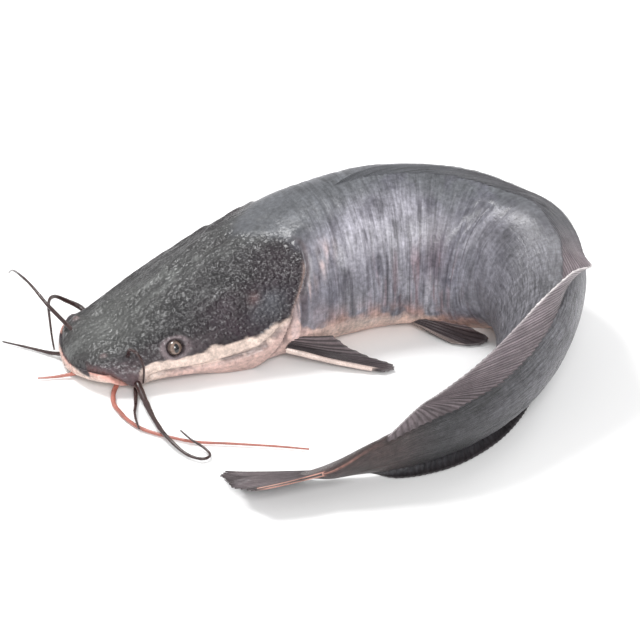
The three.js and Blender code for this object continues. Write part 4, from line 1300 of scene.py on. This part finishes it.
class FISH_OT_paired_fins(bpy.types.Operator):
    """Build the pectoral and pelvic fins with their rays and the bony pectoral spine"""
    bl_idname = "fish.paired_fins"
    bl_label = "Paired fins"

    def execute(self, context):
        s = context.scene.fish_fins
        bone = plain_tissue("Fin rays", s.ray)
        pale = plain_tissue("Pectoral spine", s.spine)
        for kind, spec, rays in (("pectoral", PECTORAL, s.pectoral_rays), ("pelvic", PELVIC, s.pelvic_rays)):
            for word, mirror in SIDES:
                place = paired_place(spec, mirror)

                def colours(u, v, ridge, kind=kind):
                    colour = fin_colours(s, 0.1, 0.8)(u, v, ridge)
                    colour = mix(colour, (0.2, 0.15, 0.155), 0.5 * (1 - ridge) * ease(u, 0.55, 0.9))
                    edge = 1 - ease(u, 0.09, 0.17)
                    pale = 0.95 * (1 - ease(v, 0.82, 0.92)) if kind == "pectoral" else 0.3
                    return mix(colour, s.spine, edge * pale)

                sheet = fin_sheet(f"{word}_{kind}_membrane", place, rays * 24, 48, rays, 0.0,
                                  ramp_thickness(s), colours, ruffle=0.4, fringe=0.015)
                finished(sheet, "fin", f"{word}_{kind}_fin")
                lines = ray_lines(place, rays, 0.0, 0.05, 0.95, 24)
                if kind == "pectoral":
                    finished(rods(f"{word}_pectoral_spine", [lines[0][:22]], pale, 0.0017, 0.0007,
                                  spacing=0.0008, sides=12, unevenness=0.2), "fin")
                    lines = lines[1:]
                finished(rods(f"{word}_{kind}_rays", lines, bone, s.ray_radius * 1.6, s.ray_radius * 0.45,
                              spacing=0.001, sides=6, unevenness=0.1), "fin")
        return {"FINISHED"}


# ---- Stage --------------------------------------------------------------------------------


# Half the floor's side, in millimetres.
FLOOR_REACH = 4000
CAMERA_TARGET = (-0.039, -0.050, 0.020)
LIGHT_TARGET = (-0.03, -0.05, 0.03)
# Name, place, diameter in metres and power in watts.
LIGHTS = (("key", (-0.45, 0.15, 0.9), 0.34, 7.0), ("front", (0.1, -1.1, 0.8), 0.6, 12.0),
          ("rear", (0.6, 0.6, 0.7), 0.5, 3.0))


def area_light(name, place, target, size, power):
    data = bpy.data.lights.new(name, "AREA")
    data.shape = "DISK"
    data.size = size
    data.energy = power
    lamp = link(bpy.data.objects.new(name, data))
    lamp.location = place
    lamp.rotation_euler = (Vector(target) - Vector(place)).to_track_quat("-Z", "Y").to_euler()


class FISH_OT_stage(bpy.types.Operator):
    """Set the pale floor, the soft lights and the camera"""
    bl_idname = "fish.stage"
    bl_label = "Stage"

    def execute(self, context):
        s = context.scene.fish_stage
        scene = context.scene
        scene.view_settings.view_transform = "Standard"
        made, tree, shader = material("Pale floor", coat=0.0, specular=0.2)
        shader.inputs["Base Color"].default_value = (*s.floor, 1)
        shader.inputs["Roughness"].default_value = 0.6
        corners = np.array([(-1, -1, 0), (1, -1, 0), (1, 1, 0), (-1, 1, 0)]) * FLOOR_REACH
        floor = new_mesh("floor", corners, [(0, 1, 2, 3)], made, smooth=False)
        world = bpy.data.worlds.new("Soft white room")
        world.use_nodes = True
        world.node_tree.nodes["Background"].inputs["Color"].default_value = (1, 1, 1, 1)
        world.node_tree.nodes["Background"].inputs["Strength"].default_value = 0.6
        scene.world = world
        for name, place, size, power in LIGHTS:
            area_light(name, place, LIGHT_TARGET, size, power)
        data = bpy.data.cameras.new("camera")
        data.lens = s.lens
        data.sensor_width = 36
        camera = link(bpy.data.objects.new("camera", data))
        target = Vector(CAMERA_TARGET)
        away = Vector((0, -math.cos(s.elevation), math.sin(s.elevation)))
        camera.location = target + away * s.distance
        camera.rotation_euler = (-away).to_track_quat("-Z", "Y").to_euler()
        data.clip_end = 20
        scene.camera = camera
        return {"FINISHED"}


# ---- Sidebar and start --------------------------------------------------------------------


class FISH_PT_sidebar(bpy.types.Panel):
    """Lists the pieces of the fish and their settings"""
    bl_idname = "FISH_PT_sidebar"
    bl_label = "Catfish"
    bl_space_type = "VIEW_3D"
    bl_region_type = "UI"
    bl_category = "Catfish"

    def draw(self, context):
        for group, _, operator in PARTS:
            self.layout.operator(operator.bl_idname)
            if group:
                settings = getattr(context.scene, group)
                for name in settings.__annotations__:
                    self.layout.prop(settings, name)


# Each operator, with the settings shown under it. The paired fins share those of the middle fins.
PARTS = (("fish_stage", FISH_PG_stage, FISH_OT_stage), ("fish_skin", FISH_PG_skin, FISH_OT_body),
         ("fish_eyes", FISH_PG_eyes, FISH_OT_eyes), ("fish_fins", FISH_PG_fins, FISH_OT_middle_fins),
         ("", None, FISH_OT_paired_fins), ("fish_whiskers", FISH_PG_whiskers, FISH_OT_whiskers))


def register():
    for name, group, operator in PARTS:
        if name:
            bpy.utils.register_class(group)
            setattr(bpy.types.Scene, name, PointerProperty(type=group))
        bpy.utils.register_class(operator)
    bpy.utils.register_class(FISH_PT_sidebar)


def unregister():
    bpy.utils.unregister_class(FISH_PT_sidebar)
    for name, group, operator in reversed(PARTS):
        bpy.utils.unregister_class(operator)
        if name:
            delattr(bpy.types.Scene, name)
            bpy.utils.unregister_class(group)


def main():
    register()
    bpy.ops.fish.stage()
    bpy.ops.fish.body()
    bpy.ops.fish.eyes()
    bpy.ops.fish.middle_fins()
    bpy.ops.fish.paired_fins()
    bpy.ops.fish.whiskers()
    bpy.context.view_layer.update()


if __name__ == "__main__":
    main()
